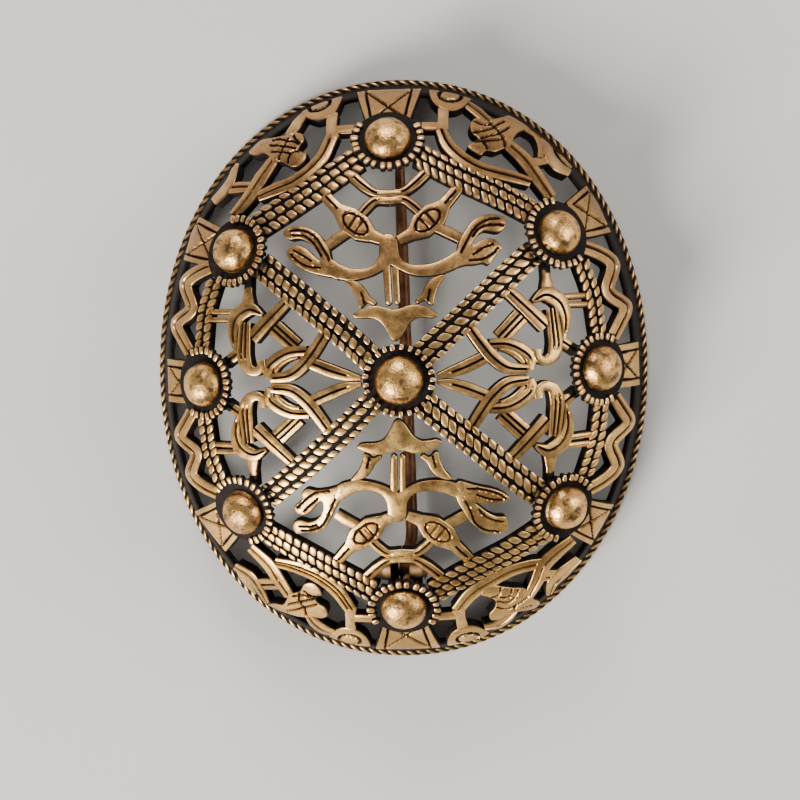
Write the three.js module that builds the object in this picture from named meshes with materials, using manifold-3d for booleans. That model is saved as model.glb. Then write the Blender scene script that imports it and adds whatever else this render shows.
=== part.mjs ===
// Oval openwork brooch: a cast bronze dome of roped bands, bosses, gripping beasts and
// looped straps over an open oval, with a hinged pin and its catch on the hollow side.
//
// Millimetres. +Z is up, out of the bosses. The origin is the centre of the rim's flat
// underside. +Y runs along the oval from the hinge to the catch.

import * as THREE from 'three';
import { mergeVertices } from 'three/addons/utils/BufferGeometryUtils.js';
import Module from 'manifold-3d';

const wasm = await Module();
wasm.setup();

// ---- Driving dimensions ------------------------------------------------------------

const ovalLength = 100;
const ovalWidth = 84.6;
const ovalPower = 2.07; // 2 is an ellipse, a little more is squarer
const domeInset = 1.3; // from the outer edge to the foot of the dome
const domeFoot = 1.5; // height of the dome's foot
const domeRise = 26; // from the foot to the crown
const steepest = 0.985; // share of the oval beyond which the lattice doesn't reach
const designTurn = THREE.MathUtils.degToRad(1.95); // the lattice sits askew in its oval

const underside = -1.1; // strap undersides, measured from the dome
const sideBoss = 32.65; // places of the nine bosses, on the quarter plan
const endBoss = 38.9;
const cornerBoss = [26.5, 22.1];
const faceAside = -0.45; // nose and bars of the masks, from the middle line

const bossRadius = 3.95;
const bossTop = 4.3; // all measured from the dome
const collarTop = 1.25;
const collarUnderside = -1.7;
const bossSides = 10;
const beadRadius = 5.3; // middle of the beaded collar
const beadHalfWidth = 0.75;
const plaqueTop = 0.75; // star plaques, measured from the dome
const plaqueDip = 0.45;
const plaqueUnderside = -1.25;

const rimSteps = 44;

const pinRadius = 1.05;
const pinHeight = 4; // the closed pin, above the rim's underside
const pinAside = 0.7; // pin to the right of the plan's middle line
const hingeAside = -0.4;
const hingeY = -34.7;
const catchY = 37.2;
const pinTipY = 41.5;
const headRadius = 2.1;
const headWidth = 2.4;
const axleRadius = 0.75;
const clearance = 0.3;
const lugThickness = 1.2;
const lugHalfRoot = 3.4; // half the lug's width where it meets the dome
const lugRoof = 18.2; // height inside the dome's thickness there
const padY = -32.6; // the half-round pads over the lugs
const catchDepth = 4.2;
const catchThickness = 1.2;
const catchRoof = 17.5;
const rivetHeadThickness = 0.6;

// ---- Plan: from the quarter design to the finished brooch ----------------------------

// The bosses were set by hand, so each stands a little off its true place, and the
// straps between them lean with it. Each row is a true place and the place it has.
const bossPlaces = [
  { name: 'top', plan: [0, endBoss], stands: [-0.65, 39.25] },
  { name: 'bottom', plan: [0, -endBoss], stands: [-0.6, -38.55] },
  { name: 'left', plan: [-sideBoss, 0], stands: [-32.36, -0.03] },
  { name: 'right', plan: [sideBoss, 0], stands: [32.97, 0.27] },
  { name: 'top left', plan: [-cornerBoss[0], cornerBoss[1]], stands: [-26.3, 21.75] },
  { name: 'top right', plan: [cornerBoss[0], cornerBoss[1]], stands: [26.72, 22.92] },
  { name: 'bottom left', plan: [-cornerBoss[0], -cornerBoss[1]], stands: [-26.61, -21.23] },
  { name: 'bottom right', plan: [cornerBoss[0], -cornerBoss[1]], stands: [26.31, -22.46] },
  { name: 'centre', plan: [0, 0], stands: [0.25, 0.22] },
];

function settle(x, y) {
  const reach = 3; // how closely a strap keeps to the boss beside it
  let total = 0;
  let shiftX = 0;
  let shiftY = 0;
  for (const { plan, stands } of bossPlaces) {
    const away = (x - plan[0]) ** 2 + (y - plan[1]) ** 2 + reach ** 2;
    const weight = away ** -1.5;
    total += weight;
    shiftX += weight * (stands[0] - plan[0]);
    shiftY += weight * (stands[1] - plan[1]);
  }
  return [x + shiftX / total, y + shiftY / total];
}

const domeX = ovalWidth / 2 - domeInset;
const domeY = ovalLength / 2 - domeInset;

function share(x, y) {
  const sum = Math.abs(x / domeX) ** ovalPower + Math.abs(y / domeY) ** ovalPower;
  return sum ** (1 / ovalPower);
}

function domeHeight(x, y) {
  return domeFoot + domeRise * Math.sqrt(1 - Math.min(share(x, y), 1) ** 2);
}

function domeNormal(x, y) {
  const ease = Math.min(1, 0.96 / Math.max(share(x, y), 1e-6)); // no steeper than this share
  const e = 0.01;
  const px = x * ease;
  const py = y * ease;
  const slopeX = (domeHeight(px + e, py) - domeHeight(px - e, py)) / (2 * e);
  const slopeY = (domeHeight(px, py + e) - domeHeight(px, py - e)) / (2 * e);
  return new THREE.Vector3(-slopeX, -slopeY, 1).normalize();
}

function turn(x, y) {
  const c = Math.cos(designTurn);
  const s = Math.sin(designTurn);
  return [x * c - y * s, x * s + y * c];
}

// A point of the plan, raised onto the dome and then out of it by `height`.
function onDome([planX, planY], height) {
  let [x, y] = turn(...settle(planX, planY));
  const pull = Math.min(1, steepest / share(x, y)); // the lattice stays off the wall's foot
  x *= pull;
  y *= pull;
  return new THREE.Vector3(x, y, domeHeight(x, y)).addScaledVector(domeNormal(x, y), height);
}

// ---- Solids --------------------------------------------------------------------------

// A closed body through equal rings of points, with flat ends; or a closed loop of rings.
function loft(rings, { loop = false } = {}) {
  const sides = rings[0].length;
  const positions = rings.flat().flatMap((p) => [p.x, p.y, p.z]);
  const index = [];
  const last = loop ? rings.length : rings.length - 1;
  for (let r = 0; r < last; r += 1) {
    const next = (r + 1) % rings.length;
    for (let s = 0; s < sides; s += 1) {
      const t = (s + 1) % sides;
      const [a, b, c, d] = [r * sides + s, r * sides + t, next * sides + t, next * sides + s];
      index.push(a, b, c, a, c, d);
    }
  }
  if (!loop) {
    const end = (rings.length - 1) * sides;
    for (const [a, b, c] of endFaces(rings[0])) index.push(c, b, a);
    for (const [a, b, c] of endFaces(rings[rings.length - 1])) index.push(end + a, end + b, end + c);
  }
  const geometry = new THREE.BufferGeometry();
  geometry.setAttribute('position', new THREE.Float32BufferAttribute(positions, 3));
  geometry.setIndex(index);
  return solid(geometry);
}

function endFaces(ring) {
  const across = ring[Math.floor(ring.length / 2)].clone().sub(ring[0]);
  let normal = new THREE.Vector3();
  for (let i = 0; i < ring.length; i += 1) {
    const a = ring[i].clone().sub(ring[0]);
    const b = ring[(i + 1) % ring.length].clone().sub(ring[0]);
    normal.add(a.cross(b));
  }
  normal = normal.normalize();
  const u = across.addScaledVector(normal, -across.dot(normal)).normalize();
  const v = normal.clone().cross(u);
  const flat = ring.map((p) => new THREE.Vector2(p.dot(u), p.dot(v)));
  return THREE.ShapeUtils.triangulateShape(flat, []);
}

// A geometry as a manifold solid, turned the right way out if it was mirrored.
function solid(geometry) {
  geometry.deleteAttribute('normal');
  geometry.deleteAttribute('uv');
  const merged = mergeVertices(geometry, 1e-4);
  const points = merged.attributes.position;
  const index = Array.from(merged.index.array);
  const p = [0, 1, 2].map(() => new THREE.Vector3());
  let volume = 0;
  for (let i = 0; i < index.length; i += 3) {
    p.forEach((v, k) => v.fromBufferAttribute(points, index[i + k]));
    volume += p[0].dot(p[1].clone().cross(p[2]));
  }
  if (volume < 0) index.reverse();
  return new wasm.Manifold(
    new wasm.Mesh({
      numProp: 3,
      vertProperties: new Float32Array(points.array),
      triVerts: new Uint32Array(index),
    }),
  );
}

// Strap sections, as [across, height]: across runs from -1 to 1 of half the width.
const sections = {
  plain: [[-0.95, underside], [0.95, underside], [0.8, 0.45], [-0.8, 0.45]],
  crowned: [[-0.95, underside], [0.95, underside], [0.85, 0.3], [0, 0.75], [-0.85, 0.3]],
  grooved: [[-0.95, underside], [0.95, underside], [0.78, 0.5], [0, 0], [-0.78, 0.5]],
  roped: [[-1, underside], [1, underside], [0.66, 0.7], [0, 0.2], [-0.66, 0.7]],
};

// A strap along a plan path. `width` is one width, or one for each point of the path.
// `level` thickens it on both faces, so that it runs clear over a thinner one.
function strap(path, width, { section = 'plain', steps = path.length - 1, level = 0 } = {}) {
  return { path, width, section, steps, level };
}

function strapSolid({ path, width, section, steps, level }, [signX, signY]) {
  const curve = new THREE.CatmullRomCurve3(
    path.map(([x, y]) => new THREE.Vector3(x * signX, y * signY, 0)),
    false,
    'centripetal',
  );
  const rings = [];
  for (let i = 0; i <= steps; i += 1) {
    const t = i / steps;
    const middle = curve.getPoint(t);
    const along = curve.getTangent(t);
    const half = widthAt(width, t) / 2;
    rings.push(
      sections[section].map(([across, height]) =>
        onDome(
          [middle.x - along.y * across * half, middle.y + along.x * across * half],
          height + (height < 0 ? -level : level),
        ),
      ),
    );
  }
  return loft(rings);
}

function widthAt(width, t) {
  if (!Array.isArray(width)) return width;
  const at = t * (width.length - 1);
  const before = Math.min(Math.floor(at), width.length - 2);
  return THREE.MathUtils.lerp(width[before], width[before + 1], at - before);
}

// ---- The quarter design --------------------------------------------------------------
// Points are [x, y] of the upper right quarter.

const bands = [
  strap([[3.6, 3.8], [8, 7.5], [12.6, 11.3], [17.6, 15.6], [22.8, 19.9]],
    [3.7, 4.2, 4.4, 4.3, 3.9], { section: 'roped', level: 0.35 }),
  strap([[4.8, 36.5], [10.1, 33.3], [15.1, 30.5], [19.7, 28], [23, 26.1]],
    [3.9, 4.5, 4.6, 4.3, 3.9], { section: 'roped', level: 0.3 }),
  strap([[30.4, 17.6], [32.2, 12], [33.1, 5.4]], [2.5, 2.9, 2.2], { section: 'grooved', level: 0.2 }),
];

const sideKnot = [
  strap([[5.8, 0.5], [14.4, 3.3]], 1.7, { level: -0.1 }),
  strap([[11.5, 8.5], [14.7, 4.2], [16.9, 1.9], [18.6, 1], [21.2, 0.9]], [2, 2.1, 2.1, 1.8, 1.2], {
    level: 0.25,
  }),
  strap([[16, 5.2], [18.8, 4.7], [21.4, 2.8], [21.2, 0.7]], [1.8, 2.2, 1.9, 1.2], { level: 0.1 }),
  strap([[16.6, 5.6], [20.9, 9.9]], [2.6, 2.2], { level: -0.15 }),
  strap([[18.2, 13.9], [24.5, 7.7]], 2.2, { level: 0.15 }),
  strap([[25.2, 10.8], [25.6, 6.5], [25.4, 2.8], [24.2, 1.8], [22.8, 3.8]],
    [1.9, 2.2, 2.1, 1.8, 1.4], { level: 0.3 }),
  strap([[22.5, 11.4], [24.6, 12.7], [27, 11.4], [27.7, 8.6], [27.3, 5.9]],
    [0.9, 2.6, 2.6, 1.8, 0.7], { level: 0.05 }),
  strap([[24.8, 17.6], [25, 13]], [1.5, 2.3], { level: -0.1 }),
  strap([[27.6, 10.9], [31.6, 11.1]], 2.1, { level: -0.15 }),
  strap([[26.4, 5.3], [29.2, 3.3]], 1.7, { level: -0.15 }),
];

const sideWave = [
  strap(
    [[31.4, 19.9], [35, 18.4], [36.6, 16.4], [35, 12.5], [37.9, 10], [38.1, 8.4], [35.8, 5]],
    2.6,
    { section: 'grooved', level: 0.1 },
  ),
];

const mask = [
  strap([[2.6, 30.2], [6.2, 33.6]], 1.7, { level: -0.05 }),
  strap(
    [[1, 22.2], [3.2, 23.5], [4.9, 24.7], [7.3, 26.7], [8.9, 28.2], [10.9, 30.7]],
    [1.8, 2.2, 4.3, 4.3, 2, 1.8],
    { section: 'crowned', level: 0.15 },
  ),
  strap([[7.6, 24.4], [11, 22.2]], 1.5, { level: -0.1 }),
  strap([[9.9, 18.9], [11.6, 22.1], [14, 24.7], [18, 24.4]], [1.9, 2.1, 2.3, 1.5], { level: 0.2 }),
  strap([[6.9, 17.4], [4.9, 12]], [2.2, 2.1], { level: -0.15 }),
];

// Both halves of a path that crosses the middle line, from the points of its right half.
function mirrored(points) {
  return [...points.map(([x, y]) => [-x, y]).reverse(), ...points];
}

const maskMiddle = [
  strap(mirrored([[2.7, 29.8], [5, 27.2]]), 1.8),
  strap(
    mirrored([[2.6, 18.7], [5.2, 17.9], [8, 18.1], [11, 18.9], [14.4, 20.1], [17.8, 21]]),
    [0.8, 3, 2.6, 1.9, 1.6, 2, 2, 1.6, 1.9, 2.6, 3, 0.8],
    { level: 0.1 },
  ),
  strap([[faceAside, 24.2], [faceAside, 22.8], [faceAside, 18.4]], [1.8, 3.3, 3.1], {
    section: 'crowned', level: 0.25,
  }),
  strap([[faceAside, 18.8], [faceAside, 12]], 2.3, { section: 'grooved', level: -0.1 }),
  strap([[-7, 10.3], [-3.4, 11.5], [0, 11.1], [3.4, 11.5], [7, 10.3]], [0.6, 1.8, 2.4, 1.8, 0.6], {
    level: 0.15,
  }),
  strap([[faceAside / 2, 11.2], [faceAside / 2, 8.6], [faceAside, 5.8]], [3.8, 1.8, 0.6], {
    level: 0.05,
  }),
];

const cornerBeast = [
  strap([[6.6, 46.7], [8.4, 46.2], [11.4, 45.3], [13.5, 44.8]], [2.2, 4.2, 4, 1.4], {
    section: 'crowned', level: 0.2,
  }),
  strap([[9.6, 44.6], [8.8, 40]], 1.9, { level: 0.05 }),
  strap([[5.4, 41.3], [8.9, 40.6], [10.8, 37.4], [14.2, 34.6], [18.3, 32.4], [23.2, 30.9]], 2, {
    level: 0.1,
  }),
  strap([[13.8, 37.1], [16.4, 39.2], [20, 40.6], [23.4, 40.7]], [3, 6, 3.4, 1.2], {
    section: 'crowned', level: 0.2,
  }),
  strap([[12.8, 44.7], [16.6, 41]], [1.5, 1.4]),
  strap([[19.6, 38.8], [22.4, 33.5], [26.4, 28.3]], [2, 2.1, 1.8], { level: 0.3 }),
  strap([[20.8, 39.2], [22.6, 39.2], [24.6, 37.6], [27, 34.3], [29.6, 32]], [1.3, 1.3, 1.8, 2.4, 1.3], {
    level: 0.1,
  }),
  strap([[22.3, 34.2], [26.4, 34.4]], 2, { level: -0.1 }),
];

// ---- Bosses, star plaques and rim ----------------------------------------------------

// A high round boss on a low collar. The ring around it carries the beading.
function boss({ stands }) {
  const [x, y] = turn(...stands);
  const profile = [
    [0, collarUnderside],
    [beadRadius + beadHalfWidth, collarUnderside],
    [beadRadius + beadHalfWidth, collarTop],
    [bossRadius * 1.02, collarTop],
    [bossRadius * 0.9, 2.5],
    [bossRadius * 0.58, 3.8],
    [0, bossTop],
  ];
  const geometry = new THREE.LatheGeometry(profile.map(([r, h]) => new THREE.Vector2(r, h)), bossSides);
  const upright = new THREE.Quaternion().setFromUnitVectors(
    new THREE.Vector3(0, 1, 0),
    domeNormal(x, y),
  );
  geometry.applyQuaternion(upright);
  geometry.translate(x, y, domeHeight(x, y));
  return solid(geometry);
}

// A trapezoid between a boss and the rim, creased from corner to corner into four
// triangles that dip towards the middle.
function starPlaque({ from, to, widths, signs: [signX, signY] }) {
  const along = new THREE.Vector2(to[0] - from[0], to[1] - from[1]).normalize();
  const corner = ([x, y], half) => [(x - along.y * half) * signX, (y + along.x * half) * signY];
  const middle = [0, 1].map((axis) => ((from[axis] + to[axis]) / 2) * (axis ? signY : signX));
  const corners = [
    corner(from, -widths[0] / 2),
    corner(to, -widths[1] / 2),
    corner(to, widths[1] / 2),
    corner(from, widths[0] / 2),
  ];
  const points = [
    ...corners.map((p) => onDome(p, plaqueUnderside)),
    ...corners.map((p) => onDome(p, plaqueTop)),
    onDome(middle, plaqueTop - plaqueDip),
  ];
  const index = [0, 2, 1, 0, 3, 2];
  for (let i = 0; i < 4; i += 1) {
    const j = (i + 1) % 4;
    index.push(i, j, j + 4, i, j + 4, i + 4, i + 4, j + 4, 8);
  }
  const geometry = new THREE.BufferGeometry().setFromPoints(points);
  geometry.setIndex(index);
  return solid(geometry);
}

const starPlaques = [
  ...[1, -1].map((y) => ({ from: [0, 42.3], to: [0, 47.9], widths: [6.8, 9.7], signs: [1, y] })),
  ...[1, -1].map((x) => ({ from: [36.2, 0], to: [40.3, 0], widths: [7.5, 7.7], signs: [x, 1] })),
  ...quarters().map((signs) => ({
    from: [29.1, 24.8],
    to: [33.8, 27.4],
    widths: [7.8, 11.4],
    signs,
  })),
];

function quarters() {
  return [[1, 1], [-1, 1], [-1, -1], [1, -1]];
}

// The rim: a rope at the outer edge, standing on a flat underside, and the solid wall
// inside it that carries the lattice. Rows are [inward from the edge, height].
function rim() {
  const section = [[0.3, 0], [0, 0.9], [0.8, 1.7], [2.3, 7.3], [3.5, 6.8], [2.5, 0]];
  const rings = [];
  for (let i = 0; i < rimSteps; i += 1) {
    const angle = (i / rimSteps) * Math.PI * 2;
    const edge = ovalPoint(angle, ovalWidth / 2, ovalLength / 2);
    const ahead = ovalPoint(angle + 0.01, ovalWidth / 2, ovalLength / 2);
    const behind = ovalPoint(angle - 0.01, ovalWidth / 2, ovalLength / 2);
    const inward = new THREE.Vector2(behind.y - ahead.y, ahead.x - behind.x).normalize();
    rings.push(
      section.map(([d, z]) => new THREE.Vector3(edge.x + inward.x * d, edge.y + inward.y * d, z)),
    );
  }
  return loft(rings, { loop: true });
}

function ovalPoint(angle, semiX, semiY) {
  const c = Math.cos(angle);
  const s = Math.sin(angle);
  return new THREE.Vector2(
    semiX * Math.sign(c) * Math.abs(c) ** (2 / ovalPower),
    semiY * Math.sign(s) * Math.abs(s) ** (2 / ovalPower),
  );
}

// ---- Hinge, catch and pin ------------------------------------------------------------

// Two lugs hang from the dome beside the pin's head, each on a half-round pad.
function hingeLugs() {
  const parts = [];
  for (const side of [-1, 1]) {
    const inner = headWidth / 2 + clearance;
    const from = hingeAside + side * inner;
    const to = hingeAside + side * (inner + lugThickness);
    const outline = new THREE.Shape();
    outline.moveTo(hingeY - lugHalfRoot, lugRoof);
    outline.lineTo(hingeY - headRadius, pinHeight);
    for (let i = 1; i < 6; i += 1) {
      const angle = Math.PI + (i / 6) * Math.PI;
      outline.lineTo(hingeY + headRadius * Math.cos(angle), pinHeight + headRadius * Math.sin(angle));
    }
    outline.lineTo(hingeY + headRadius, pinHeight);
    outline.lineTo(hingeY + lugHalfRoot, lugRoof);
    parts.push(
      plateAcross(outline, Math.min(from, to), lugThickness)
        .subtract(crossRod(axleRadius + clearance, to - from + side, (from + to) / 2)),
    );
    const padPath = [1.6, 3.6, 5].map((aside) => [hingeAside + side * aside, padY]);
    parts.push(strapSolid(strap(padPath, [3.6, 3.2, 1.2], { level: -0.4 }), [1, 1]));
  }
  return parts;
}

// A flat plate in a plane along Y and Z, `thickness` thick from `x` towards +X.
function plateAcross(outline, x, thickness) {
  const geometry = new THREE.ExtrudeGeometry(outline, { depth: thickness, bevelEnabled: false });
  const basis = new THREE.Matrix4().makeBasis(
    new THREE.Vector3(0, 1, 0),
    new THREE.Vector3(0, 0, 1),
    new THREE.Vector3(1, 0, 0),
  );
  geometry.applyMatrix4(basis);
  geometry.translate(x, 0, 0);
  geometry.rotateZ(designTurn);
  return solid(geometry);
}

// A round rod along X through the hinge axis, centred at `x`.
function crossRod(radius, size, x, sides = 10) {
  const geometry = new THREE.CylinderGeometry(radius, radius, Math.abs(size), sides);
  geometry.rotateZ(Math.PI / 2);
  geometry.translate(x, hingeY, pinHeight);
  geometry.rotateZ(designTurn);
  return solid(geometry);
}

// The catch: a plate that hangs beside the pin's end, its foot curled towards the pin.
function catchPlate() {
  const curl = 0.5; // how far the foot reaches past the plate
  const wall = pinAside - pinRadius - clearance - catchThickness - curl;
  const outline = new THREE.Shape();
  outline.moveTo(wall, catchRoof);
  outline.lineTo(wall, pinHeight - 0.6);
  outline.lineTo(wall + curl, pinHeight - 1.9);
  outline.lineTo(wall + catchThickness + curl / 2, pinHeight - 2.2);
  outline.lineTo(wall + catchThickness + curl, pinHeight - 1.1);
  outline.lineTo(wall + catchThickness, pinHeight - 0.3);
  outline.lineTo(wall + catchThickness, catchRoof);
  const geometry = new THREE.ExtrudeGeometry(outline, { depth: catchDepth, bevelEnabled: false });
  geometry.rotateX(Math.PI / 2);
  geometry.translate(0, catchY + catchDepth / 2, 0);
  geometry.rotateZ(designTurn);
  return solid(geometry);
}

// The pin: a pierced head between the lugs and a long round shank drawn to a point.
function pin() {
  const start = hingeY + headRadius - 0.6;
  const path = [
    { at: [hingeAside + 0.1, start], radius: 1 },
    { at: [hingeAside + 0.5, start + 2.4], radius: pinRadius },
    { at: [pinAside, start + 5.5], radius: pinRadius },
    { at: [pinAside, 0], radius: pinRadius },
    { at: [pinAside, catchY - 8], radius: 0.95 },
    { at: [pinAside, catchY], radius: 0.75 },
    { at: [pinAside, pinTipY], radius: 0.2 },
  ];
  const sides = 8;
  const rings = path.map(({ at, radius }) =>
    Array.from({ length: sides }, (_, i) => {
      const angle = (i / sides) * Math.PI * 2;
      const [x, y] = turn(at[0] + radius * Math.cos(angle), at[1]);
      return new THREE.Vector3(x, y, pinHeight + radius * Math.sin(angle));
    }),
  );
  const head = crossRod(headRadius, headWidth, hingeAside, 16);
  const bore = crossRod(axleRadius + clearance, headWidth + 1, hingeAside);
  return loft(rings).add(head).subtract(bore);
}

function hingeRivet() {
  const span = headWidth + 2 * clearance + 2 * lugThickness;
  let rivet = crossRod(axleRadius, span + 2 * clearance + 2 * rivetHeadThickness, hingeAside);
  for (const side of [-1, 1]) {
    const x = hingeAside + side * (span / 2 + clearance + rivetHeadThickness / 2);
    rivet = rivet.add(crossRod(axleRadius * 2, rivetHeadThickness, x));
  }
  return rivet;
}

// ---- The cast shell --------------------------------------------------------------------

function shell() {
  const parts = [rim(), ...bossPlaces.map(boss), ...starPlaques.map(starPlaque)];
  for (const signs of quarters()) {
    for (const piece of [...bands, ...sideKnot, ...sideWave, ...mask, ...cornerBeast]) {
      parts.push(strapSolid(piece, signs));
    }
  }
  for (const signY of [1, -1]) {
    for (const piece of maskMiddle) parts.push(strapSolid(piece, [1, signY]));
  }
  parts.push(...hingeLugs(), catchPlate());
  return parts.reduce((whole, part) => whole.add(part));
}

// ---- Named meshes ----------------------------------------------------------------------

function meshOf(name, manifold, material) {
  const { vertProperties, triVerts, numProp } = manifold.getMesh();
  const geometry = new THREE.BufferGeometry();
  const points = [];
  for (let i = 0; i < vertProperties.length; i += numProp) {
    points.push(vertProperties[i], vertProperties[i + 1], vertProperties[i + 2]);
  }
  geometry.setAttribute('position', new THREE.Float32BufferAttribute(points, 3));
  geometry.setIndex(Array.from(triVerts));
  geometry.computeVertexNormals();
  const mesh = new THREE.Mesh(geometry, material);
  mesh.name = name;
  return mesh;
}

const bronze = new THREE.MeshStandardMaterial({ color: 0xb08d5e, roughness: 0.35, metalness: 1 });
const darkBronze = new THREE.MeshStandardMaterial({ color: 0x6b4a35, roughness: 0.45, metalness: 1 });

const brooch = new THREE.Group();
brooch.add(meshOf('shell', shell(), bronze));
brooch.add(meshOf('pin', pin(), darkBronze));
brooch.add(meshOf('hinge_rivet', hingeRivet(), darkBronze));

export default brooch;
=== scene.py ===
"""Oval openwork brooch: the fine cast surface, the finishes, the light and the camera.

The lattice is laid out on a flat plan in millimetres and then raised onto the dome, as
in the CAD model. Each strap, plaque, bead and boss is its own closed form. Every point
remembers where it lies on the plan and how deep it sits, and that decides how much of
the near-black colour it keeps: patina, and painted shade in the hollows and recesses.
Meshes are made in metres.
"""

import math

import bpy
import numpy as np
from mathutils import Matrix, Vector
from mathutils.geometry import delaunay_2d_cdt


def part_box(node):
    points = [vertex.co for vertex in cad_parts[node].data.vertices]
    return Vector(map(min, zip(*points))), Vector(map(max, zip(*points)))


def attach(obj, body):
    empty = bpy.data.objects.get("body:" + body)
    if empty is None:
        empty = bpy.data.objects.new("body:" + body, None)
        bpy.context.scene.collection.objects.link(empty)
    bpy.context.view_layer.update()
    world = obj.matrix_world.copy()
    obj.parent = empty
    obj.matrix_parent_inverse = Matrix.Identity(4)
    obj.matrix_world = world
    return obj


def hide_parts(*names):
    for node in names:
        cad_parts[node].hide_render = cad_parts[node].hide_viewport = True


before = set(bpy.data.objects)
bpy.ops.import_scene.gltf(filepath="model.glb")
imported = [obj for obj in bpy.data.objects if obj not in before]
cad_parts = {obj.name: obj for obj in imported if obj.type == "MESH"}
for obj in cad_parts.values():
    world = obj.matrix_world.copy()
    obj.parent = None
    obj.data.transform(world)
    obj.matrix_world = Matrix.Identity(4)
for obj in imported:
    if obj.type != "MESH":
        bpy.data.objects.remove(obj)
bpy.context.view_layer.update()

MM = 0.001

# ---- Driving dimensions, in millimetres --------------------------------------------------

shell_low, shell_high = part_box("shell")
OVAL_SEMI = np.array([shell_high.x - shell_low.x, shell_high.y - shell_low.y]) / (2 * MM)
OVAL_POWER = 2.07  # 2 is an ellipse, a little more is squarer
DOME_INSET = 1.3  # from the outer edge to the foot of the dome
DOME_FOOT = 1.5  # height of the dome's foot over the floor
DOME_RISE = 26.0  # from the foot to the crown
STEEPEST = 0.985  # share of the oval beyond which the lattice doesn't reach
EASED_SLOPE = 0.96  # share of the oval beyond which straps lean out no further
DESIGN_TURN = math.radians(1.95)  # the lattice sits askew in its oval
SETTLE_REACH = 3.0  # how near a boss the straps lean with it

# Heights over the dome.
UNDERSIDE = -1.1
STRAP_TOP = 0.45
PLAQUE_TOP = 0.6
BOSS_TOP = 4.3
BOSS_FOOT = 0.95
COLLAR_TOP = 1.25
COLLAR_UNDERSIDE = -0.8
COLLAR_FLOOR = 0.75  # the collar's face, under its beads

COLLAR_RADIUS = 5.95
BEAD_RING = 5.55  # radius of the ring of beads round a boss
AXIS_BEADS = 25  # in a whole ring, round the bosses on the long axis
OTHER_BEADS = 29
BEAD_SIZE = 0.9
CENTRE_BEAD_SIZE = 0.74
BEAD_HALF_LONG = 0.68  # at size 1, away from the boss
BEADS_HALF_ROUND = 12.2  # at size 1, the half widths of a whole ring's beads added up
BEAD_RISE = 0.74

GROOVE_HALF = 0.24  # half width of the grooves that run along straps
CUT_HALF = 0.17  # half width of the lines drawn freely
CUT_REACH = 1.25  # how far a drawn line's hollow goes out, in its half widths
GROOVE_DEPTH = 0.62
FADE = (0.06, 0.02)  # shares of a strap over which its grooves run out
SHOULDER = 0.16  # from a strap's side to its flat top
CROWN_REACH = 0.5  # how far in from its edge a plate still rises
FINE = 0.17  # spacing of points across an engraved strap
CARVED_STEP = FINE * 1.15  # spacing of rings along an engraved strap
PLAIN_STEP = 0.38  # spacing of rings along a plain strap

# Hinge, pin and catch, as in the CAD model. Their heights are over the floor.
HINGE_ASIDE = -0.4
HINGE_Y = -34.7
PAD_Y = -32.6  # the half-round pads over the lugs
PIN_HEIGHT = 4.0
PIN_ASIDE = 0.7
PIN_RADIUS = 1.05
PIN_TIP_Y = 41.5
CATCH_Y = 37.2
CATCH_DEPTH = 4.2
CATCH_THICKNESS = 1.2
CATCH_ROOF = 17.5
CATCH_CURL = 0.5
HEAD_RADIUS = 2.1
HEAD_WIDTH = 2.4
AXLE_RADIUS = 0.75
CLEARANCE = 0.3
LUG_THICKNESS = 1.2
LUG_HALF_ROOT = 3.4  # half the lug's width where it meets the dome
LUG_ROOF = 18.2
RIVET_HEAD = 0.6

SIDE_BOSS = 32.65
END_BOSS = 38.9
CORNER_BOSS = (26.5, 22.1)
FACE_ASIDE = -0.45  # the bars of the masks' noses, from the plan's middle line

# Each boss: true place on the plan, place where it stands, middle and half span of its
# beading in degrees, radius of the dome, and how far the dome sits off its collar's middle.
BOSSES = [
    ((0, END_BOSS), (-0.65, 39.25), -90, 127, 3.82, (0.0, -0.15)),
    ((0, -END_BOSS), (-0.6, -38.55), 90, 127, 3.82, (0.0, 0.35)),
    ((-SIDE_BOSS, 0), (-32.36, -0.03), 0, 122, 3.62, (0.35, -0.15)),
    ((SIDE_BOSS, 0), (32.97, 0.27), 180, 122, 3.7, (0.0, 0.2)),
    ((-CORNER_BOSS[0], CORNER_BOSS[1]), (-26.3, 21.75), -3, 115, 3.68, (0.05, 0.0)),
    ((CORNER_BOSS[0], CORNER_BOSS[1]), (26.72, 22.92), -162, 113, 3.72, (0.05, 0.05)),
    ((-CORNER_BOSS[0], -CORNER_BOSS[1]), (-26.61, -21.23), 30, 118, 3.6, (0.2, -0.4)),
    ((CORNER_BOSS[0], -CORNER_BOSS[1]), (26.31, -22.46), 152, 118, 3.66, (0.3, 0.15)),
    ((0, 0), (0.25, 0.22), 0, 180, 3.95, (0.0, 0.0)),
]
QUARTERS = [(1, 1), (-1, 1), (-1, -1), (1, -1)]


# ---- Small helpers -----------------------------------------------------------------------


def unit(vectors):
    """Vectors made one long."""
    return vectors / np.linalg.norm(vectors, axis=-1, keepdims=True)


def left_of(directions):
    """Plan directions turned a quarter to the left."""
    return np.stack([-directions[..., 1], directions[..., 0]], -1)


def rotated(x, y, angle):
    c, s = math.cos(angle), math.sin(angle)
    return np.stack([x * c - y * s, x * s + y * c], -1)


def angles_round(count):
    return np.arange(count) / count * 2 * math.pi


def superoval(angles, power):
    """The x and y of a unit oval, which is squarer as the power grows beyond 2."""
    c, s = np.cos(angles), np.sin(angles)
    return np.sign(c) * np.abs(c) ** (2 / power), np.sign(s) * np.abs(s) ** (2 / power)


def turns_left(ring):
    """Whether a closed ring of points goes round counter-clockwise."""
    after = np.roll(ring, -1, 0)
    return (ring[:, 0] * after[:, 1] - after[:, 0] * ring[:, 1]).sum() > 0


def lengths_along(points):
    """The length of a line up to each of its points."""
    steps = np.linalg.norm(np.diff(points, axis=0), axis=1)
    return np.concatenate([[0], np.cumsum(steps)])


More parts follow.
